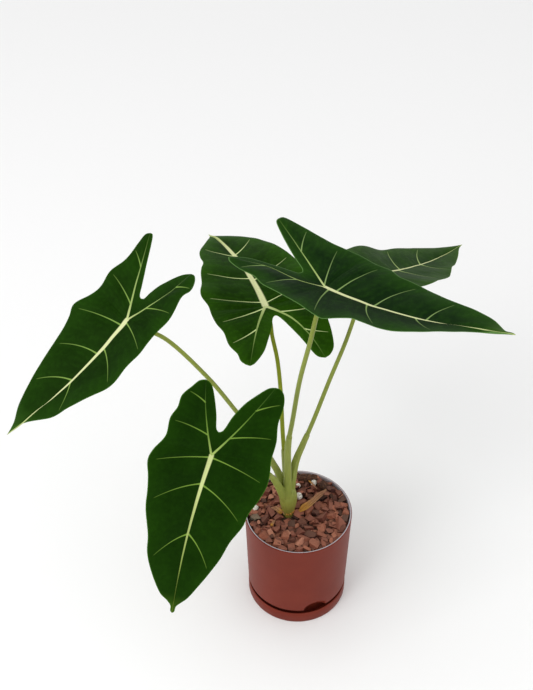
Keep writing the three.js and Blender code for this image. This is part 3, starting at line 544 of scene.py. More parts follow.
def dried_sheath():
    """A dead, papery leaf base: golden at its root, pinkish beige further out, with dark streaks."""
    material, tree, place = start_material("dried_sheath", Roughness=0.7, Specular_IOR_Level=0.25)
    tone = add(tree, "Attribute", output="Fac", attribute_name="tone")
    shades = add(tree, "ValToRGB", [tone],
                 stops=[(0.0, "#b07a2a"), (0.2, "#c08c42"), (0.42, "#b0825c"), (0.75, "#a8795c"),
                        (1.0, "#bf9470")])
    fibre = add(tree, "TexNoise", {"Vector": place, "Scale": per(1.1), "Detail": 6})
    streak = add(tree, "MapRange", [fibre, 0.3, 0.7, 0.7, 1.15])
    shaded = add(tree, "VectorMath", {0: shades, "Scale": streak}, "SCALE")
    return finish_material(material, shaded)


def leaf_stalk(name, foot, middle, top, heights):
    """A living stalk: waxy skin, paler at the foot, with fine lengthwise streaks."""
    material, tree, place = start_material(
        name, Roughness=0.42, IOR=1.42, Specular_IOR_Level=0.2, Subsurface_Weight=0.08,
        Subsurface_Radius=(0.6, 1.0, 0.25), Subsurface_Scale=2 * MM)
    height = add(tree, "SeparateXYZ", [place], output="Z")
    share = add(tree, "MapRange", [height, heights[0] * MM, heights[1] * MM])
    tint = add(tree, "ValToRGB", [share], stops=[(0.0, foot), (0.3, middle), (1.0, top)])
    along = add(tree, "Mapping", {"Vector": place, "Scale": (1, 1, 0.04)})
    streaks = add(tree, "TexNoise", {"Vector": along, "Scale": per(1.4), "Detail": 4})
    depth = add(tree, "MapRange", [streaks, 0.3, 0.7, 0.9, 1.08])
    shaded = add(tree, "VectorMath", {0: tint, "Scale": depth}, "SCALE")
    return finish_material(material, shaded, streaks, 0.2, 0.2)


def leaf_flesh(tree, place, maps, deep, light, tip, wrinkle, outward):
    """The flesh's colour, the crests of its wrinkles and its grain. It gets lighter towards the margin,
    and towards the tip it takes a painted sheen. Its wrinkles carry painted light on their crests and
    painted shade in their hollows. The wrinkles run with the side veins, a few millimetres apart and never
    quite straight.
    """
    blotch = add(tree, "TexNoise", {"Vector": place, "Scale": per(24), "Detail": 6})
    fine = add(tree, "TexNoise", {"Vector": place, "Scale": per(4), "Detail": 5})
    drift = add(tree, "Math", [blotch, 18], "MULTIPLY")
    ripple = add(tree, "Math", [maps["cell"], 8 * math.pi, drift], "MULTIPLY_ADD")
    wave = add(tree, "Math", [ripple], "COSINE")
    patch = add(tree, "MapRange", [fine, 0.35, 0.65])
    crest = add(tree, "Math", [wave, patch], "MULTIPLY")
    outer = add(tree, "MapRange", [maps["edge_gap"], 20, 1, -outward, outward])
    # Painted light and shade: the colour is lighter on the wrinkles' crests and darker in their hollows.
    swell = add(tree, "Math", [crest, wrinkle, outer], "MULTIPLY_ADD")
    rough = add(tree, "Math", [fine, 0.5, swell], "MULTIPLY_ADD")
    depth = add(tree, "Math", [blotch, 0.6, rough], "MULTIPLY_ADD")
    tone = add(tree, "MapRange", [depth, 0.2, 0.9])
    colour = add(tree, "Mix", {0: tone, 6: linear(deep), 7: linear(light)}, **COLOURS)
    # Painted sheen: towards the tip the flesh turns to the tip colour.
    fresh = add(tree, "MapRange", [maps["ahead"], tip[0], 1, 0, 0.9])
    return add(tree, "Mix", {0: fresh, 6: colour, 7: linear(tip[1])}, **COLOURS), crest, fine


def leaf_lines(tree, maps, colour, rib_shades, side_vein, edge):
    """The side veins, the margin, whose pale line is partly painted highlight, and the ribs over a
    colour, and where the side veins are.
    """
    side_fade = add(tree, "MapRange", [maps["side_way"], 0.25, 1, 1, 0.18])
    rib_fade = add(tree, "MapRange", [maps["rib_way"], 0.76, 1, 1, 0.15])
    rib_colour = add(tree, "ValToRGB", [maps["rib_way"]], stops=rib_shades)
    masks = []
    # Where each begins and is full, in its own half widths or millimetres, and how strong it is.
    for gap, begins, full, strength, shade in (
        ("side_gap", 1.5, 0.45, side_fade, linear(side_vein)),
        # The margin's line: its own pale rim, and partly a painted highlight where the edge catches the
        # light.
        ("edge_gap", 0.9, 0.15, 0.6, linear(edge)),
        ("rib_gap", 1.25, 0.7, rib_fade, rib_colour),
    ):
        line = add(tree, "MapRange", [maps[gap], begins, full], interpolation_type="SMOOTHSTEP")
        masks.append(add(tree, "Math", [line, strength], "MULTIPLY"))
        colour = add(tree, "Mix", {0: masks[-1], 6: colour, 7: shade}, **COLOURS)
    return colour, masks[0]


def dusty(tree, place, colour):
    """A few specks of dust over a colour."""
    specks = add(tree, "TexVoronoi", {"Vector": place, "Scale": per(SPECK_ROOM)})
    drawn = add(tree, "SeparateColor", [specks.node.outputs["Color"]])
    rare = add(tree, "Math", [drawn, 0.8], "GREATER_THAN")
    near = add(tree, "Math", [specks, SPECK_RADIUS / SPECK_ROOM], "LESS_THAN")
    speck = add(tree, "Math", [rare, near], "MULTIPLY")
    return add(tree, "Mix", {0: speck, 6: colour, 7: linear("#a8a284")}, **COLOURS)


def leaf_face(name, deep, light, tip, rib_shades, side_vein, edge, gloss, wrinkle, outward):
    """One face of a blade: velvety deep green between pale ribs and veins that fade as they run out."""
    material, tree, place = start_material(name, Roughness=0.5, IOR=1.4, Specular_IOR_Level=gloss,
                                           Specular_Tint=linear("#c6d8a8"))
    maps = {each: add(tree, "Attribute", output="Fac", attribute_name=each) for each in LEAF_MAPS}
    flesh, crest, fine = leaf_flesh(tree, place, maps, deep, light, tip, wrinkle, outward)
    colour, veins = leaf_lines(tree, maps, flesh, rib_shades, side_vein, edge)
    folds = add(tree, "Math", [crest, 4 * wrinkle, veins], "MULTIPLY_ADD")
    relief = add(tree, "Math", [fine, 0.5, folds], "MULTIPLY_ADD")
    return finish_material(material, dusty(tree, place, colour), relief, 0.5, 0.4)


# ---------------------------------------------------------------- pot and saucer


def wall_radius(height):
    """The outer radius of the pot's wall, which flares a little."""
    share = (height - SKIRT_Z) / (RIM_Z - SKIRT_Z)
    return SKIRT_RADIUS + share * (RIM_RADIUS - SKIRT_RADIUS)


def scoop_ball(grow):
    """The ball that dishes the pot's lower edge, or, grown, the wall behind the dish."""
    deselect()
    bpy.ops.mesh.primitive_uv_sphere_add(
        segments=64, ring_count=32, radius=MM, rotation=(0, 0, math.radians(SCOOP_BEARING)),
        location=metres((*bearing(SCOOP_BEARING, SKIRT_RADIUS), SKIRT_Z)),
        scale=[half + grow for half in SCOOP_HALF_SIZES],
    )
    return named("scoop_ball")


def draw_pot():
    """The pot's shell: up the outside from the foot, over the rim and down to the floor."""
    shoulder = SHOULDER_Z - WALL
    return draw_up("pot_shell", [
        (FOOT_RADIUS - 1, FOOT_Z),
        (FOOT_RADIUS, FOOT_Z + 1),
        (FOOT_RADIUS, shoulder),
        (wall_radius(shoulder) - WALL, shoulder),
        (wall_radius(SKIRT_Z) - WALL, SKIRT_Z + 0.3),
        (wall_radius(SKIRT_Z) - WALL + 0.4, SKIRT_Z),
        (SKIRT_RADIUS - 0.6, SKIRT_Z),
        (SKIRT_RADIUS, SKIRT_Z + 0.6),
        (wall_radius(RIM_Z - 1.6), RIM_Z - 1.6),
        (wall_radius(RIM_Z - 0.9), RIM_Z - 0.9),
        (RIM_RADIUS - 0.25, RIM_Z - 0.3),
        (RIM_RADIUS - 0.8, RIM_Z),
        (RIM_RADIUS - WALL + 0.5, RIM_Z),
        (RIM_RADIUS - WALL + 0.1, RIM_Z - 0.3),
        (RIM_RADIUS - WALL, RIM_Z - 0.8),
        (wall_radius(SHOULDER_Z + 1) - WALL, SHOULDER_Z + 1),
        (FOOT_RADIUS - WALL, SHOULDER_Z),
        (FOOT_RADIUS - WALL, FOOT_Z + FLOOR),
    ])


def cut_scoop(pot):
    """Dishes the pot's lower edge for a finger, with a wall behind the dish."""
    backing = scoop_ball(SCOOP_SHELL)
    top = SKIRT_Z + SCOOP_HALF_SIZES[2] + SCOOP_SHELL
    inside = [(wall_radius(height) - WALL / 2, height) for height in (SKIRT_Z, top)]
    boolean(backing, draw_up("inside", inside), "INTERSECT")
    boolean(pot, backing, "UNION")
    boolean(pot, scoop_ball(0), "DIFFERENCE")


def cut_drains(pot):
    for i in range(DRAIN_HOLES):
        at = bearing(i * 360 / DRAIN_HOLES, DRAIN_RING)
        drain = draw_up("drain", [(DRAIN_RADIUS, 0), (DRAIN_RADIUS, 2 * FOOT_Z + FLOOR)], 24, at)
        boolean(pot, drain, "DIFFERENCE")


def line_inside(pot):
    """Gives the second material to the faces of the rim and of the inside above the shoulder."""
    for face in pot.data.polygons:
        height = face.center.z / MM
        radius = math.hypot(face.center.x, face.center.y) / MM
        on_rim = height > RIM_Z - LINED_RIM and radius < RIM_RADIUS - LINED_RIM
        if height > SHOULDER_Z and (on_rim or radius < wall_radius(height) - WALL + 0.3):
            face.material_index = 1


def model_pot(plastic, lining):
    pot = draw_pot()
    cut_scoop(pot)
    cut_drains(pot)
    finish(pot, 35, plastic, lining)
    line_inside(pot)
    return pot


def model_saucer(plastic):
    inner = SAUCER_RADIUS - SAUCER_WALL
    saucer = draw_up("saucer_dish", [
        (SAUCER_RADIUS - 1.6, 0),
        (SAUCER_RADIUS - 0.5, 0.4),
        (SAUCER_RADIUS, 1.6),
        (SAUCER_RADIUS, SAUCER_HEIGHT - 0.6),
        (SAUCER_RADIUS - 0.2, SAUCER_HEIGHT - 0.15),
        (SAUCER_RADIUS - 0.5, SAUCER_HEIGHT),
        (inner + 0.4, SAUCER_HEIGHT),
        (inner, SAUCER_HEIGHT - 0.4),
        (inner - 0.2, SAUCER_FLOOR + 0.8),
        (inner - 1.4, SAUCER_FLOOR),
    ])
    return finish(saucer, 40, plastic)


# ---------------------------------------------------------------- stones, bark and husks


def model_chip(rng):
    """A shard of stone: a ball cut down to a flat block with slanting, broken sides."""
    deselect()
    bpy.ops.mesh.primitive_ico_sphere_add(subdivisions=3, radius=1)
    chip = named("chip")
    sides, first = rng.choice((3, 4, 4, 5)), rng.uniform(0, 2 * math.pi)
    ways = [Vector((rng.uniform(-0.25, 0.25), rng.uniform(-0.25, 0.25), up)) for up in (1, -1)]
    for i in range(sides):
        turn = first + (i + rng.uniform(-0.3, 0.3)) * 2 * math.pi / sides
        ways.append(Vector((math.cos(turn), math.sin(turn), rng.uniform(-0.5, 0.5))))
    ways.append(Vector((rng.uniform(-1, 1), rng.uniform(-1, 1), rng.uniform(0.3, 0.8))))
    edit(chip)
    for way in ways:
        way.normalize()
        bpy.ops.mesh.bisect(plane_co=way * rng.uniform(*CUT_DEPTHS), plane_no=way, use_fill=True,
                            clear_outer=True)
        bpy.ops.mesh.select_all(action="SELECT")
    bpy.ops.mesh.dissolve_limited(angle_limit=math.radians(20))
    apply_modifier(chip, "BEVEL", width=0.025, segments=1, limit_method="ANGLE")
    apply_modifier(chip, "TRIANGULATE")
    return chip


def copy_chip(chip, place, sizes, spin, tilt, tone):
    """A copy of a chip with its own mesh, laid where it belongs."""
    piece = chip.copy()
    piece.data = chip.data.copy()
    bpy.context.collection.objects.link(piece)
    turn = Matrix.Rotation(spin, 4, "Z")
    for angle, axis in zip(tilt, "XY"):
        turn = turn @ Matrix.Rotation(angle, 4, axis)
    scale = Matrix.Diagonal((*metres(sizes), 1))
    piece.data.transform(Matrix.Translation(Vector(place) * MM) @ turn @ scale)
    store(piece, "tone", [tone] * len(piece.data.polygons), "FACE")
    return piece


def wanted_spots(rng, apart):
    """Where stones may lie: the grey one, a ring along the wall, and many places at random."""
    ring = round(2 * math.pi * WALL_SPOT / apart)
    wanted = [GREY_STONE]
    wanted += [bearing((i + rng.uniform(-0.1, 0.1)) * 360 / ring, WALL_SPOT) for i in range(ring)]
    wanted += [bearing(rng.uniform(0, 360), math.sqrt(rng.random()) * WALL_SPOT)
               for _ in range(GRAVEL_TRIES)]
    return wanted


def lay_stone(rng, chips, x, y, height):
    """A stone of its own size, shade and tilt, kept inside the pot's wall."""
    size = rng.uniform(*STONE_SIZES[rng.random() < LARGE_STONES])
    sizes = (size, size * rng.uniform(*STONE_WIDTH), size * rng.uniform(*STONE_THICKNESS))
    tilt = (rng.gauss(0, STONE_TILT), rng.gauss(0, STONE_TILT))
    tone = min(TONE_LIMITS[1], max(TONE_LIMITS[0], rng.gauss(*STONE_TONE)))
    if rng.random() < DARK_STONES:
        tone = DARK_TONE
    if (x, y) == GREY_STONE:
        sizes, tilt, tone = GREY_SIZES, (0, 0), GREY_TONE
    heap = HEAP if math.hypot(x, y) > HEAP_FROM else 0
    place = (x, y, height + heap + rng.uniform(-0.6, 0.6))
    stone = copy_chip(rng.choice(chips), place, sizes, rng.uniform(0, 2 * math.pi), tilt, tone)
    out = max(math.hypot(v.co.x, v.co.y) for v in stone.data.vertices)
    over = max(0, out - (wall_radius(height) - WALL - 0.2) * MM)
    stone.data.transform(Matrix.Translation(-Vector((x, y, 0)).normalized() * over))
    return stone


def model_gravel(porphyry):
    """A bed painted near black as the shade in the gaps, and on it rounds of flat shards, each round
    laid over the gaps of the last.
    """
    rng = random.Random(GRAVEL_SEED)
    chips = [model_chip(rng) for _ in range(CHIP_KINDS)]
    reach = wall_radius(BED_Z[0]) - WALL - 0.5
    bed = draw_up("gravel_bed", [(reach, height) for height in BED_Z], 64)
    # Tone 0 is the darkest stop: painted shade wherever the gaps between stones show the bed.
    store(bed, "tone", [0.0] * len(bed.data.polygons), "FACE")
    laid = [bed]
    for height, apart in GRAVEL_ROUNDS:
        taken = [(STEM_X, STEM_Y, STEM_ROOM)] + [(*middle[:2], PUMICE_ROOM) for middle, _ in PUMICE]
        for x, y in wanted_spots(rng, apart):
            if all(math.hypot(x - p, y - q) >= room for p, q, room in taken):
                taken.append((x, y, apart * CROWDING))
                laid.append(lay_stone(rng, chips, x, y, height))
    for chip in chips:
        delete(chip)
    gravel = join(laid)
    gravel.name = "gravel_layer"
    return finish(gravel, 18, porphyry)


def roughen(piece, depth, size, seed, pits=0.0):
    """Pushes a piece's points in and out by noise, with small pits where they are asked for."""
    offset = Vector((seed * 7.3, seed * 3.1, seed * 5.7))
    for vertex in piece.data.vertices:
        place = vertex.co / (size * MM) + offset
        push = depth * noise.noise(place)
        if pits:
            push -= pits * max(0, noise.noise(place * PIT_FINENESS)) ** 2 * 4
        vertex.co += vertex.normal * push * MM


def model_pumice(number, middle, halves, material):
    """A rounded, pitted lump."""
    deselect()
    bpy.ops.mesh.primitive_ico_sphere_add(subdivisions=4, radius=MM, scale=halves,
                                          location=metres(middle))
    lump = named(f"pumice_lump_{number}")
    roughen(lump, depth=0.9, size=3.2, seed=number, pits=0.8)
    return finish(lump, 60, material)


def model_bark(number, middle, halves, turn, material):
    """A chip of bark: a slab with broken ends and split layers."""
    deselect()
    bpy.ops.mesh.primitive_cube_add(size=2 * MM, scale=halves, rotation=(0.1, 0.05, turn),
                                    location=metres(middle))
    slab = named(f"bark_slab_{number}")
    edit(slab)
    bpy.ops.mesh.subdivide(number_cuts=9)
    bpy.ops.mesh.vertices_smooth(factor=0.5, repeat=4)
    bpy.ops.object.mode_set(mode="OBJECT")
    roughen(slab, depth=1.4, size=2.6, seed=number + 4)
    return finish(slab, 30, material)


def model_husk_strip(points, half_width):
    """A dried leaf base: a thin strip, rolled in along its length, creased, and drawn to a point."""
    deselect()
    bpy.ops.mesh.primitive_grid_add(x_subdivisions=44, y_subdivisions=16, size=2)
    piece = named("husk_strip")
    line = line_through(points, 60)
    ahead = np.gradient(line, axis=0)
    ahead /= np.linalg.norm(ahead, axis=1)[:, None]
    ways = [(vertex.co.x + 1) / 2 for vertex in piece.data.vertices]
    for vertex, share in zip(piece.data.vertices, ways):
        step = share * (len(line) - 1)
        low = min(int(step), len(line) - 2)
        middle = line[low] + (step - low) * (line[low + 1] - line[low])
        side = np.cross((0, 0, 1), ahead[low])
        side /= np.linalg.norm(side)
        rise = np.cross(ahead[low], side)
        width = half_width * np.interp(share, *HUSK_OUTLINE)
        width *= 1 + 0.12 * noise.noise(Vector((share * 9, half_width, math.copysign(3, vertex.co.y))))
        roll = HUSK_ROLL * (1 + share)
        angle = vertex.co.y * roll
        fold = HUSK_CREASE * width * math.sin(2.6 * math.pi * vertex.co.y + 2 * share)
        aside = side * (width * math.sin(angle) / roll * 1.2)
        up = rise * (0.8 * width * (1 - math.cos(angle)) / roll + fold)
        vertex.co = Vector(middle + aside + up) * MM
    store(piece, "tone", ways)
    apply_modifier(piece, "SOLIDIFY", thickness=HUSK_THICKNESS * MM, offset=0)
    return piece


def model_husk(number, strips, material):
    """A dried leaf base with the flakes that have come off it."""
    husk = join([model_husk_strip(points, half_width) for points, half_width in strips])
    husk.name = f"dry_husk_{number}"
    weld(husk)
    return finish(husk, 60, material)


# ---------------------------------------------------------------- stalks and stem


def way_along(line):
    """How far along a line each of its points lies."""
    return np.concatenate([[0], np.cumsum(np.linalg.norm(np.diff(line, axis=0), axis=1))])


def line_through(points, count):
    """Evenly spaced places on a smooth line through the points, in millimetres."""
    knots = np.array(points, float)
    knots = np.vstack([2 * knots[0] - knots[1], knots, 2 * knots[-1] - knots[-2]])
    fine = []
    for a, b, c, d in zip(knots, knots[1:], knots[2:], knots[3:]):
        gaps = [math.sqrt(np.linalg.norm(q - p)) for p, q in ((a, b), (b, c), (c, d))]
        leave = ((b - a) / gaps[0] - (c - a) / (gaps[0] + gaps[1]) + (c - b) / gaps[1]) * gaps[1]
        reach = ((c - b) / gaps[1] - (d - b) / (gaps[1] + gaps[2]) + (d - c) / gaps[2]) * gaps[1]
        for t in np.linspace(0, 1, 24, endpoint=False):
            fine.append(hermite(b, c, leave, reach, t))
    fine = np.array([*fine, knots[-2]])
    way = way_along(fine)
    stops = np.linspace(0, way[-1], count)
    return np.column_stack([np.interp(stops, way, fine[:, axis]) for axis in range(3)])


def hermite(b, c, leave, reach, t):
    """The place at t on a smooth way from b to c that leaves and reaches them in these directions."""
    return b + leave * t + (3 * (c - b) - 2 * leave - reach) * t**2 + (2 * (b - c) + leave + reach) * t**3


def stalk_line(stalk, blade):
    """The stalk's middle line, led into the blade's underside."""
    normal = blade_basis(blade)[2]
    under = [np.array(blade["junction"]) - depth * normal for depth in STALK_LANDING]
    return line_through([*stalk["line"], *under], STALK_STEPS)


def model_stalk(number, line, stalk, material):
    """From inside the sheath to the blade, where it widens a little."""
    start = int((stalk["reach"] - STALK_OVERLAP) * STALK_STEPS)
    shares = np.linspace(0, 1, STALK_STEPS)[start:]
    flare = STALK_FLARE * np.clip((shares - 0.965) / 0.035, 0, 1) ** 2
    radii = between(stalk["radius"], shares) + flare
    piece = draw_tube(f"leaf_stalk_{number}", line[start:], radii, roundness=7)
    weld(piece)
    return finish(piece, 60, material)


def draw_sheath(line, stalk):
    """The sheath round a stalk's foot: a tube, and the two lips of its open side."""
    end = int(stalk["reach"] * STALK_STEPS)
    sleeve = between(stalk["radius"], stalk["reach"]) + SHEATH_WALL
    parts = [draw_tube("sheath", line[:end], sheath_radii(stalk, sleeve, np.linspace(0, 1, end)))]
    inward = np.array([STEM_X, STEM_Y, 0]) - line[end] * (1, 1, 0)
    inward /= np.linalg.norm(inward)
    across = np.array([-inward[1], inward[0], 0])
    lip = line[: end + 4]
    shares = np.linspace(0, 1, len(lip))
    spread = sheath_radii(stalk, sleeve, shares)
    for hand in (-1, 1):
        place = lip + np.outer(spread * LIP_IN, inward) + np.outer(spread * LIP_ASIDE * hand, across)
        parts.append(draw_tube("lip", place, 1.0 - 0.7 * shares**3, 3))
    return parts


def sheath_radii(stalk, sleeve, shares):
    """The sheath's radii at shares of its way, down to the sleeve that closes round the stalk."""
    return between((stalk["sheath"], sleeve), shares**SHEATH_TAPER)


def draw_nub(degrees, height, size, material):
    """A budding root at the stem's foot."""
    x, y = bearing(degrees, NUB_RING)
    deselect()
    bpy.ops.mesh.primitive_ico_sphere_add(subdivisions=3, radius=size * MM, scale=(0.8, 0.8, 1.3),
                                          location=metres((STEM_X + x, STEM_Y + y, height)))
    return finish(named("nub"), 60, material)


def model_stem(lines, material, nub_material):
    """The swollen stem base and the sheaths round the stalks, grown together, with budding roots."""
    parts = [draw_up("stem_base", STEM_PROFILE, 48, (STEM_X, STEM_Y))]
    for line, stalk in zip(lines, STALKS):
        parts += draw_sheath(line, stalk)
    stem = join(parts)
    apply_modifier(stem, "REMESH", mode="VOXEL", voxel_size=0.5 * MM)
    apply_modifier(stem, "SMOOTH", factor=0.5, iterations=12)
    finish(stem, 80, material)
    stem = join([stem] + [draw_nub(*nub, nub_material) for nub in ROOT_NUBS])
    stem.name = "stem_base"
    return stem


# ---------------------------------------------------------------- blades


def between(ends, share):
    """A value at a share of the way between two ends."""
    return ends[0] + (ends[1] - ends[0]) * share


def blade_basis(blade):
    """The blade's own directions: along the midrib, across to its left, and up from its face."""
    turn, tilt, lean = (math.radians(angle) for angle in blade["turn"])
    flat = math.cos(tilt)
    along = np.array([math.cos(turn) * flat, math.sin(turn) * flat, math.sin(tilt)])
    level = np.array([-math.sin(turn), math.cos(turn), 0])
    rise = np.cross(along, level)
    across = level * math.cos(lean) + rise * math.sin(lean)
    return np.array([along, across, np.cross(along, across)])


def midrib_offset(blade, u):
    """The midrib curves sideways from the stalk to the tip."""
    tip_u, tip_v = blade["left"][0]
    return tip_v * (np.maximum(u, 0) / tip_u) ** 2


def bend(blade, u, v):
    """How high the bent blade stands over its own plane."""
    length = blade["length"]
    ahead, back = np.maximum(u, 0) / length, np.minimum(u, 0) / length
    aside = v - midrib_offset(blade, u)
    crease = np.hypot(aside, CREASE) - CREASE
    sag = blade["droop"] * ahead**2 + blade["curl"] * ahead**3 + blade["lobe_droop"] * back**2
    fold = np.where(aside > 0, *blade["fold"])
    return fold * crease - length * (sag + blade["arch"] * (aside / length) ** 2)


def bend_normals(blade, u, v):
    """The directions square to the bent blade, from its slopes over a millimetre."""
    slope_u = bend(blade, u + 0.5, v) - bend(blade, u - 0.5, v)
    slope_v = bend(blade, u, v + 0.5) - bend(blade, u, v - 0.5)
    normals = np.stack([-slope_u, -slope_v, np.ones_like(u)], axis=-1)
    return normals / np.linalg.norm(normals, axis=-1, keepdims=True)


def on_blade(blade, points, offset):
    """Places in metres, this many millimetres off the bent blade."""
    u, v = points[:, 0], points[:, 1]
    local = np.column_stack([u, v, bend(blade, u, v)]) + bend_normals(blade, u, v) * offset[:, None]
    return (local @ blade_basis(blade) + blade["junction"]) * MM


def on_curve(points, share):
    """The place at a share of the way along a smooth curve through the points."""
    points = np.array(points, float)
    last = len(points) - 1
    step = np.clip(share, 0, 1) * last
    low = np.minimum(np.floor(step).astype(int), last - 1)
    a, b = points[np.maximum(low - 1, 0)], points[low]
    c, d = points[low + 1], points[np.minimum(low + 2, last)]
    return hermite(b, c, (c - a) / 2, (d - b) / 2, (step - low)[..., None])


def lobe_rib(blade, side, share):
    """Places along a lobe's rib, from the stalk to the lobe's end."""
    return on_curve([(0, 0), *blade["lobe_ribs"][side], blade[SIDES[side]][-1]], share)


def margin_share(margin, u):
    """The share of the margin's way at which it has come back to u."""
    low, high = 0.0, 1.0
    for _ in range(24):
        middle = (low + high) / 2
        if on_curve(margin, np.array(middle))[0] > u:
            low = middle
        else:
            high = middle
    return low


def vein_keys(blade, side):
    """Where the side veins start on the midrib, or, below 0, on the lobe's rib, and end on the margin."""
    margin = blade[SIDES[side]]
    start = [(blade["left"][0][0], 0.0)]
    ahead = [(place, margin_share(margin, end)) for place, end in blade["veins"][side]]
    back = [(-place, margin_share(margin, end)) for place, end in blade["lobe_veins"][side]]
    junction = [(0.0, (ahead[-1][1] + back[0][1]) / 2)]
    return start + ahead + junction + back + [(-1.0, 1.0)]


def rows_between(keys, lobe_length):
    """Rows of the net, close enough to draw the veins: start, end, swell and the place between veins."""
    rows = []
    for i, (here, there) in enumerate(zip(keys, keys[1:])):
        reach = (here[0] - there[0]) * (1 if here[0] > 0 else lobe_length)
        steps = max(3, math.ceil(max(reach, (there[1] - here[1]) * MARGIN_LENGTH) / ROW_SPACING))
        for share in (j / steps for j in range(steps)):
            start, end = (between(pair, share) for pair in zip(here, there))
            rows.append((start, end, math.sin(math.pi * share), i + share))
    rows.append((-1.0, 1.0, 0.0, len(keys) - 1.0))
    return np.array(rows)


def strip(blade, side, rows, ends, columns, bow, wave):
    """Points of the net from the spine to the margin, how high they swell, and between which veins."""
    starts = np.where(
        rows[:, :1] >= 0,
        np.column_stack([rows[:, 0], midrib_offset(blade, rows[:, 0])]),
        lobe_rib(blade, side, -rows[:, 0]),
    )
    width = np.linalg.norm(ends - starts, axis=1)
    squeeze = np.minimum(1, RIB_COLUMNS_SHARE * width / RIB_COLUMNS[-1]) / np.maximum(width, 1e-6)
    close = RIB_COLUMNS * squeeze[:, None]
    far = np.linspace(0, 1, columns - len(RIB_COLUMNS) + 1)[1:]
    shares = np.hstack([close, close[:, -1:] + (1 - close[:, -1:]) * far])
    shares[:, -1] = 1
    belly = 4 * shares * (1 - shares)
    uv = starts[:, None] + (ends - starts)[:, None] * shares[..., None]
    sag = bow * np.minimum(width / BOW_WIDTH, 1) * np.clip((rows[:, 0] - BOW_START) / BOW_REACH, 0, 1)
    uv[..., 0] -= sag[:, None] * belly
    lift = PUFF * rows[:, 2:3] * belly + wave[:, None] * shares**3
    return uv, lift, np.repeat(rows[:, 3:4], columns, axis=1)


def half_nets(blade, side):
    """The nets of one half blade: out to the margin, and from the lobe's rib to its inner margin."""
    margin, inner = blade[SIDES[side]], blade["inner_" + SIDES[side]][::-1]
    rows = rows_between(vein_keys(blade, side), math.hypot(*margin[-1]))
    share = rows[:, 1]
    wave = WAVE * np.sin(2 * math.pi * WAVES * share) * np.sin(math.pi * share)
    outer = strip(blade, side, rows, on_curve(margin, share), COLUMNS, VEIN_BOW, wave)
    back = rows[rows[:, 0] <= 0] * (1, 1, 0, 1)
    lobe = strip(blade, side, back, on_curve(inner, -back[:, 0]), COLUMNS // 2, 0, np.zeros(len(back)))
    return [outer, lobe]


def faces_of(ids, places):
    """The faces of one net, all turned up. A corner that two points share is used once."""
    found = []
    for low, high in zip(ids, ids[1:]):
        for corners in zip(low, low[1:], high[1:], high):
            corners = list(dict.fromkeys(corners))
            if len(corners) > 2:
                found.append(corners)
    area = sum(signed_area([places[corner] for corner in face]) for face in found)
    return found if area > 0 else [face[::-1] for face in found]


def weave(nets):
    """One list of points, with their lifts and cells, and faces from nets that share places."""
    points, faces, seen = [], [], {}
    for uv, lift, cell in nets:
        ids = np.empty(lift.shape, int)
        for spot in np.ndindex(lift.shape):
            key = tuple(np.round(uv[spot] * 1e3).astype(int))
            if key not in seen:
                seen[key] = len(points)
                points.append((*uv[spot], lift[spot], cell[spot]))
            ids[spot] = seen[key]
        faces += faces_of(ids.tolist(), points)
    points = np.array(points)
    return points[:, :2], points[:, 2], points[:, 3], faces


def signed_area(corners):
    """Twice the area that a face covers from above, below 0 if it runs clockwise."""
    return sum(a[0] * b[1] - b[0] * a[1] for a, b in zip(corners, corners[1:] + corners[:1]))


def rim_of(faces):
    """Edges that only one face uses."""
    edges = {}
    for face in faces:
        for a, b in zip(face, face[1:] + face[:1]):
            if (b, a) in edges:
                del edges[(b, a)]
            else:
                edges[(a, b)] = None
    return list(edges)


def nearest(found):
    """Of pairs of gaps and values, the smallest gap at each point and the value that goes with it."""
    gaps, values = (np.array(each) for each in zip(*found))
    pick = np.argmin(gaps, axis=0)[None]
    return np.take_along_axis(gaps, pick, 0)[0], np.take_along_axis(values, pick, 0)[0]


def gap_to_line(points, line):
    """The distance of each point to a line, and the share of the way at which it is nearest."""
    way = way_along(line)
    found = []
    for start, end, a, b in zip(way, way[1:], line, line[1:]):
        along = b - a
        t = np.clip((points - a) @ along / max(along @ along, 1e-12), 0, 1)
        gap = np.linalg.norm(points - a - t[:, None] * along, axis=1)
        found.append((gap, between((start, end), t) / way[-1]))
    return nearest(found)


def gaps_to_ribs(blade, points):
    """For the midrib and each lobe's rib, the distance and the share of the way."""
    u = np.linspace(0, blade["left"][0][0], 40)
    lobes = [lobe_rib(blade, side, np.linspace(0, 1, 24)) for side in (0, 1)]
    midrib = np.column_stack([u, midrib_offset(blade, u)])
    return [gap_to_line(points, line) for line in (midrib, *lobes)]


def rib_gaps(ribs, half_widths):
    """The gap to the nearest rib, in half widths, and the way: 0 to 0.5 on the midrib, else 0.55 to 1."""
    lobe_widths = (LOBE_RIB_SHARE * half_widths[0], LOBE_RIB_END)
    looks = [(half_widths, (0, 0.5)), (lobe_widths, (0.55, 1)), (lobe_widths, (0.55, 1))]
    gaps, way = nearest([
        (gap / between(widths, 1 - (1 - share) ** 2), between(ways, share))
        for (gap, share), (widths, ways) in zip(ribs, looks)
    ])
    return np.minimum(gaps, FAR_GAP), way


def keel_depths(ribs):
    """How far the nearest rib stands out under the blade."""
    (gap, share), *lobes = ribs
    gap, depth = nearest([(gap, KEEL * (1 - share) ** 0.8)]
                         + [(gap, LOBE_KEEL * (1 - share)) for gap, share in lobes])
    return depth * np.cos(np.clip(gap / KEEL_WIDTH, 0, 1) * math.pi / 2) ** 2


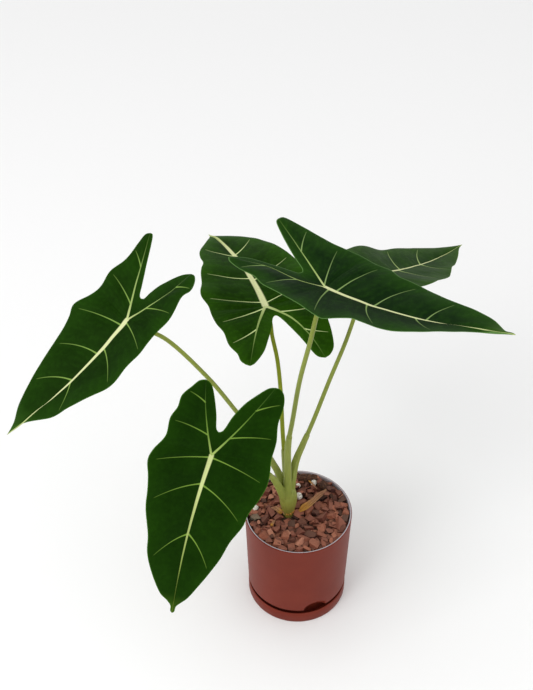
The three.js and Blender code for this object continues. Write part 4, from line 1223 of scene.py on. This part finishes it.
def side_gaps(blade, points):
    """Distance to the nearest side vein, in half widths, and the share of the way along it."""
    found = [(np.full(len(points), FAR_GAP), np.zeros(len(points)))]
    for side in (0, 1):
        for start, end in vein_keys(blade, side)[1:-1]:
            if start == 0:
                continue
            ends = on_curve(blade[SIDES[side]], np.array([end]))
            uv, _, _ = strip(blade, side, np.array([[start, end, 0, 0]]), ends, 30, VEIN_BOW, np.zeros(1))
            gap, share = gap_to_line(points, uv[0])
            flare = SIDE_VEIN_FLARE if start > 0 else SIDE_VEIN_FLARE / 4
            width = between(SIDE_VEIN_HALF_WIDTH, share) + flare * (1 - share) ** 14
            fade = np.clip(share - SIDE_VEIN_END, 0, 1) / (1 - SIDE_VEIN_END)
            found.append((gap / width + 6 * fade, share))
    return nearest(found)


def edge_gaps(blade, points):
    """Distance to the margin, in millimetres."""
    shares = np.linspace(0, 1, 160)
    gaps = [gap_to_line(points, on_curve(blade[way_in + side], shares))[0]
            for side in SIDES for way_in in ("", "inner_")]
    return np.minimum(np.min(gaps, axis=0), FAR_EDGE)


def outside_rim(places, rim, edge_ids):
    """The rim's points, moved out a little, for the middle line of the edge."""
    outward = np.zeros_like(places)
    for a, b in rim:
        step = places[b] - places[a]
        outward[[a, b]] += (step[1], -step[0])
    lengths = np.linalg.norm(outward[edge_ids], axis=1, keepdims=True)
    return places[edge_ids] + EDGE_REACH * outward[edge_ids] / np.maximum(lengths, 1e-9)


def closed_faces(faces, rim, edge_ids, count):
    """The upper faces, the lower ones, and two rows of faces round the edge's middle line."""
    middle_of = {vertex: 2 * count + i for i, vertex in enumerate(edge_ids)}
    closed = faces + [[count + corner for corner in face[::-1]] for face in faces]
    for a, b in rim:
        closed.append([b, a, middle_of[a], middle_of[b]])
        closed.append([middle_of[b], middle_of[a], count + a, count + b])
    return closed


def model_blade(number, blade, upper, under):
    """A leaf blade: two faces over one net, closed round a thin edge, with ribs under it."""
    places, lifts, cells, faces = weave([net for side in (0, 1) for net in half_nets(blade, side)])
    rim = rim_of(faces)
    edge_ids = sorted({a for a, _ in rim})
    ribs = gaps_to_ribs(blade, places)
    rib, rib_way = rib_gaps(ribs, blade["rib"])
    side, side_way = side_gaps(blade, places)
    edge = edge_gaps(blade, places)

    lift = lifts + [UNEVEN * noise.noise(Vector((u / UNEVEN_SIZE, v / UNEVEN_SIZE, number * 9.0)))
                    for u, v in places]
    half = np.minimum(LEAF_THICKNESS, LEAF_EDGE_THICKNESS + EDGE_SLOPE * edge) / 2
    ridge = SIDE_RIDGE * np.clip(1.6 - side, 0, 1) * (1 - side_way)
    corners = np.vstack([
        on_blade(blade, places, lift + half + RIB_RISE * np.clip(1.4 - rib, 0, 1)),
        on_blade(blade, places, lift - half - keel_depths(ribs) - ridge),
        on_blade(blade, outside_rim(places, rim, edge_ids), lift[edge_ids]),
    ])

    mesh = bpy.data.meshes.new(f"leaf_blade_{number}")
    mesh.from_pydata(corners.tolist(), [], closed_faces(faces, rim, edge_ids, len(places)))
    piece = bpy.data.objects.new(mesh.name, mesh)
    bpy.context.collection.objects.link(piece)
    ahead = places[:, 0] / blade["length"]
    for leaf_map, values in zip(LEAF_MAPS, (rib, rib_way, side, side_way, edge, cells, ahead)):
        store(piece, leaf_map, np.concatenate([values, values, values[edge_ids]]))
    dress(piece, upper, under)
    indices = [0] * len(faces) + [1] * len(faces) + [0, 1] * len(rim)
    mesh.polygons.foreach_set("material_index", indices)
    mesh.polygons.foreach_set("use_smooth", [True] * len(indices))
    return piece


# ---------------------------------------------------------------- scene


def settle(piece, slot, *nodes):
    """Hands a finished piece to the frame: it stands for these solids."""
    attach(piece, "root")
    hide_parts(*nodes)


def build_container():
    """The saucer and the pot, which is pale inside."""
    plastic = moulded_polypropylene("terracotta_polypropylene", "#712b1d", "#742d1f", "#6e291c", 0.45)
    lining = moulded_polypropylene("pale_lining", "#b6aeb4", "#bab2b8", "#b2aab0", 0.35)
    settle(model_saucer(plastic), "terracotta", "saucer")
    settle(model_pot(plastic, lining), "terracotta", "pot")


def build_ground():
    """The stones and what lies among them. Pumice is a pale, porous glass, pine bark dark and dull, and
    the compost nearly black and crumbly.
    """
    stone = crushed_porphyry()
    pumice = mottled("pumice", [(0.3, "#8f8a80"), (0.45, "#d8d2c8"), (0.7, "#f2eee6")], 1.8, 0.5, 0.95)
    bark = mottled("pine_bark", [(0.3, "#1e0e07"), (0.5, "#452616"), (0.7, "#7d5436")], 2.2, 0.8, 0.9)
    husk = dried_sheath()
    compost = mottled("potting_compost", [(0.3, "#120b07"), (0.6, "#2c1d15"), (0.8, "#4a382a")], 2, 1, 1)
    dress(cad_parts["potting_mix"], compost)
    settle(model_gravel(stone), "gravel", "gravel")
    for number, (middle, halves) in enumerate(PUMICE, 1):
        settle(model_pumice(number, middle, halves, pumice), "pumice", f"pumice_{number}")
    for number, (middle, halves, turn) in enumerate(BARK, 1):
        settle(model_bark(number, middle, halves, turn, bark), "bark", f"bark_{number}")
    for number, strips in enumerate(HUSKS, 1):
        settle(model_husk(number, strips, husk), "dry_sheath", f"dry_sheath_{number}")


def build_plant():
    """The stem with its sheaths and amber root nubs, then each stalk with its blade."""
    sheath = leaf_stalk("leaf_sheath", "#8c833a", "#868f42", "#8a9446", (122, 280))
    stalk = leaf_stalk("leaf_stalk", "#8a9448", "#828d3e", "#7c8738", (180, 480))
    fresh = leaf_stalk("fresh_leaf_stalk", "#8a9448", "#8a9544", "#99a44a", (180, 410))
    olive = leaf_stalk("olive_leaf_stalk", "#858e26", "#818b1f", "#7e8a1b", (180, 400))
    nub = mottled("root_nub", [(0.3, "#8a5a1c"), (0.6, "#c98a35"), (0.8, "#e0b060")], 2, 0.2, 0.5)
    *faces, under = [leaf_face(*look) for look in LEAF_LOOKS]
    lines = [stalk_line(leaf, blade) for leaf, blade in zip(STALKS, BLADES)]
    settle(model_stem(lines, sheath, nub), "sheath", "crown")
    skins = (fresh, olive, stalk, stalk, stalk)
    for number, (leaf, blade, line, skin, face) in enumerate(zip(STALKS, BLADES, lines, skins, faces), 1):
        settle(model_stalk(number, line, leaf, skin), "stalk", f"petiole_{number}")
        settle(model_blade(number, blade, face, under), "blade", f"blade_{number}")


def build_studio():
    """A pale floor under a broad soft light from the upper left."""
    deselect()
    bpy.ops.mesh.primitive_plane_add(size=12)
    floor = named("floor")
    dress(floor, start_material("floor_paint", Roughness=0.9, Base_Color=linear("#f4f4f4"))[0])
    world = bpy.data.worlds.new("studio")
    bpy.context.scene.world = world
    world.use_nodes = True
    sky = world.node_tree.nodes["Background"]
    sky.inputs["Color"].default_value = (1, 1, 1, 1)
    sky.inputs["Strength"].default_value = SKY_STRENGTH
    for name, place, size, power in LIGHTS:
        light = bpy.data.lights.new(name, "AREA")
        light.size = size
        light.energy = power
        lamp = bpy.data.objects.new(name, light)
        lamp.location = place
        lamp.rotation_euler = (Vector(LIGHTS_AIM) - Vector(place)).to_track_quat("-Z", "Y").to_euler()
        bpy.context.collection.objects.link(lamp)


def place_camera():
    camera = bpy.data.objects.new("camera", bpy.data.cameras.new("camera"))
    camera.location = CAMERA_PLACE
    camera.rotation_euler = (math.radians(CAMERA_TILT), 0, 0)
    camera.data.lens = LENS
    bpy.context.collection.objects.link(camera)
    bpy.context.scene.camera = camera


bpy.context.scene.view_settings.view_transform = "Standard"
place_camera()
build_studio()
build_container()
build_ground()
build_plant()
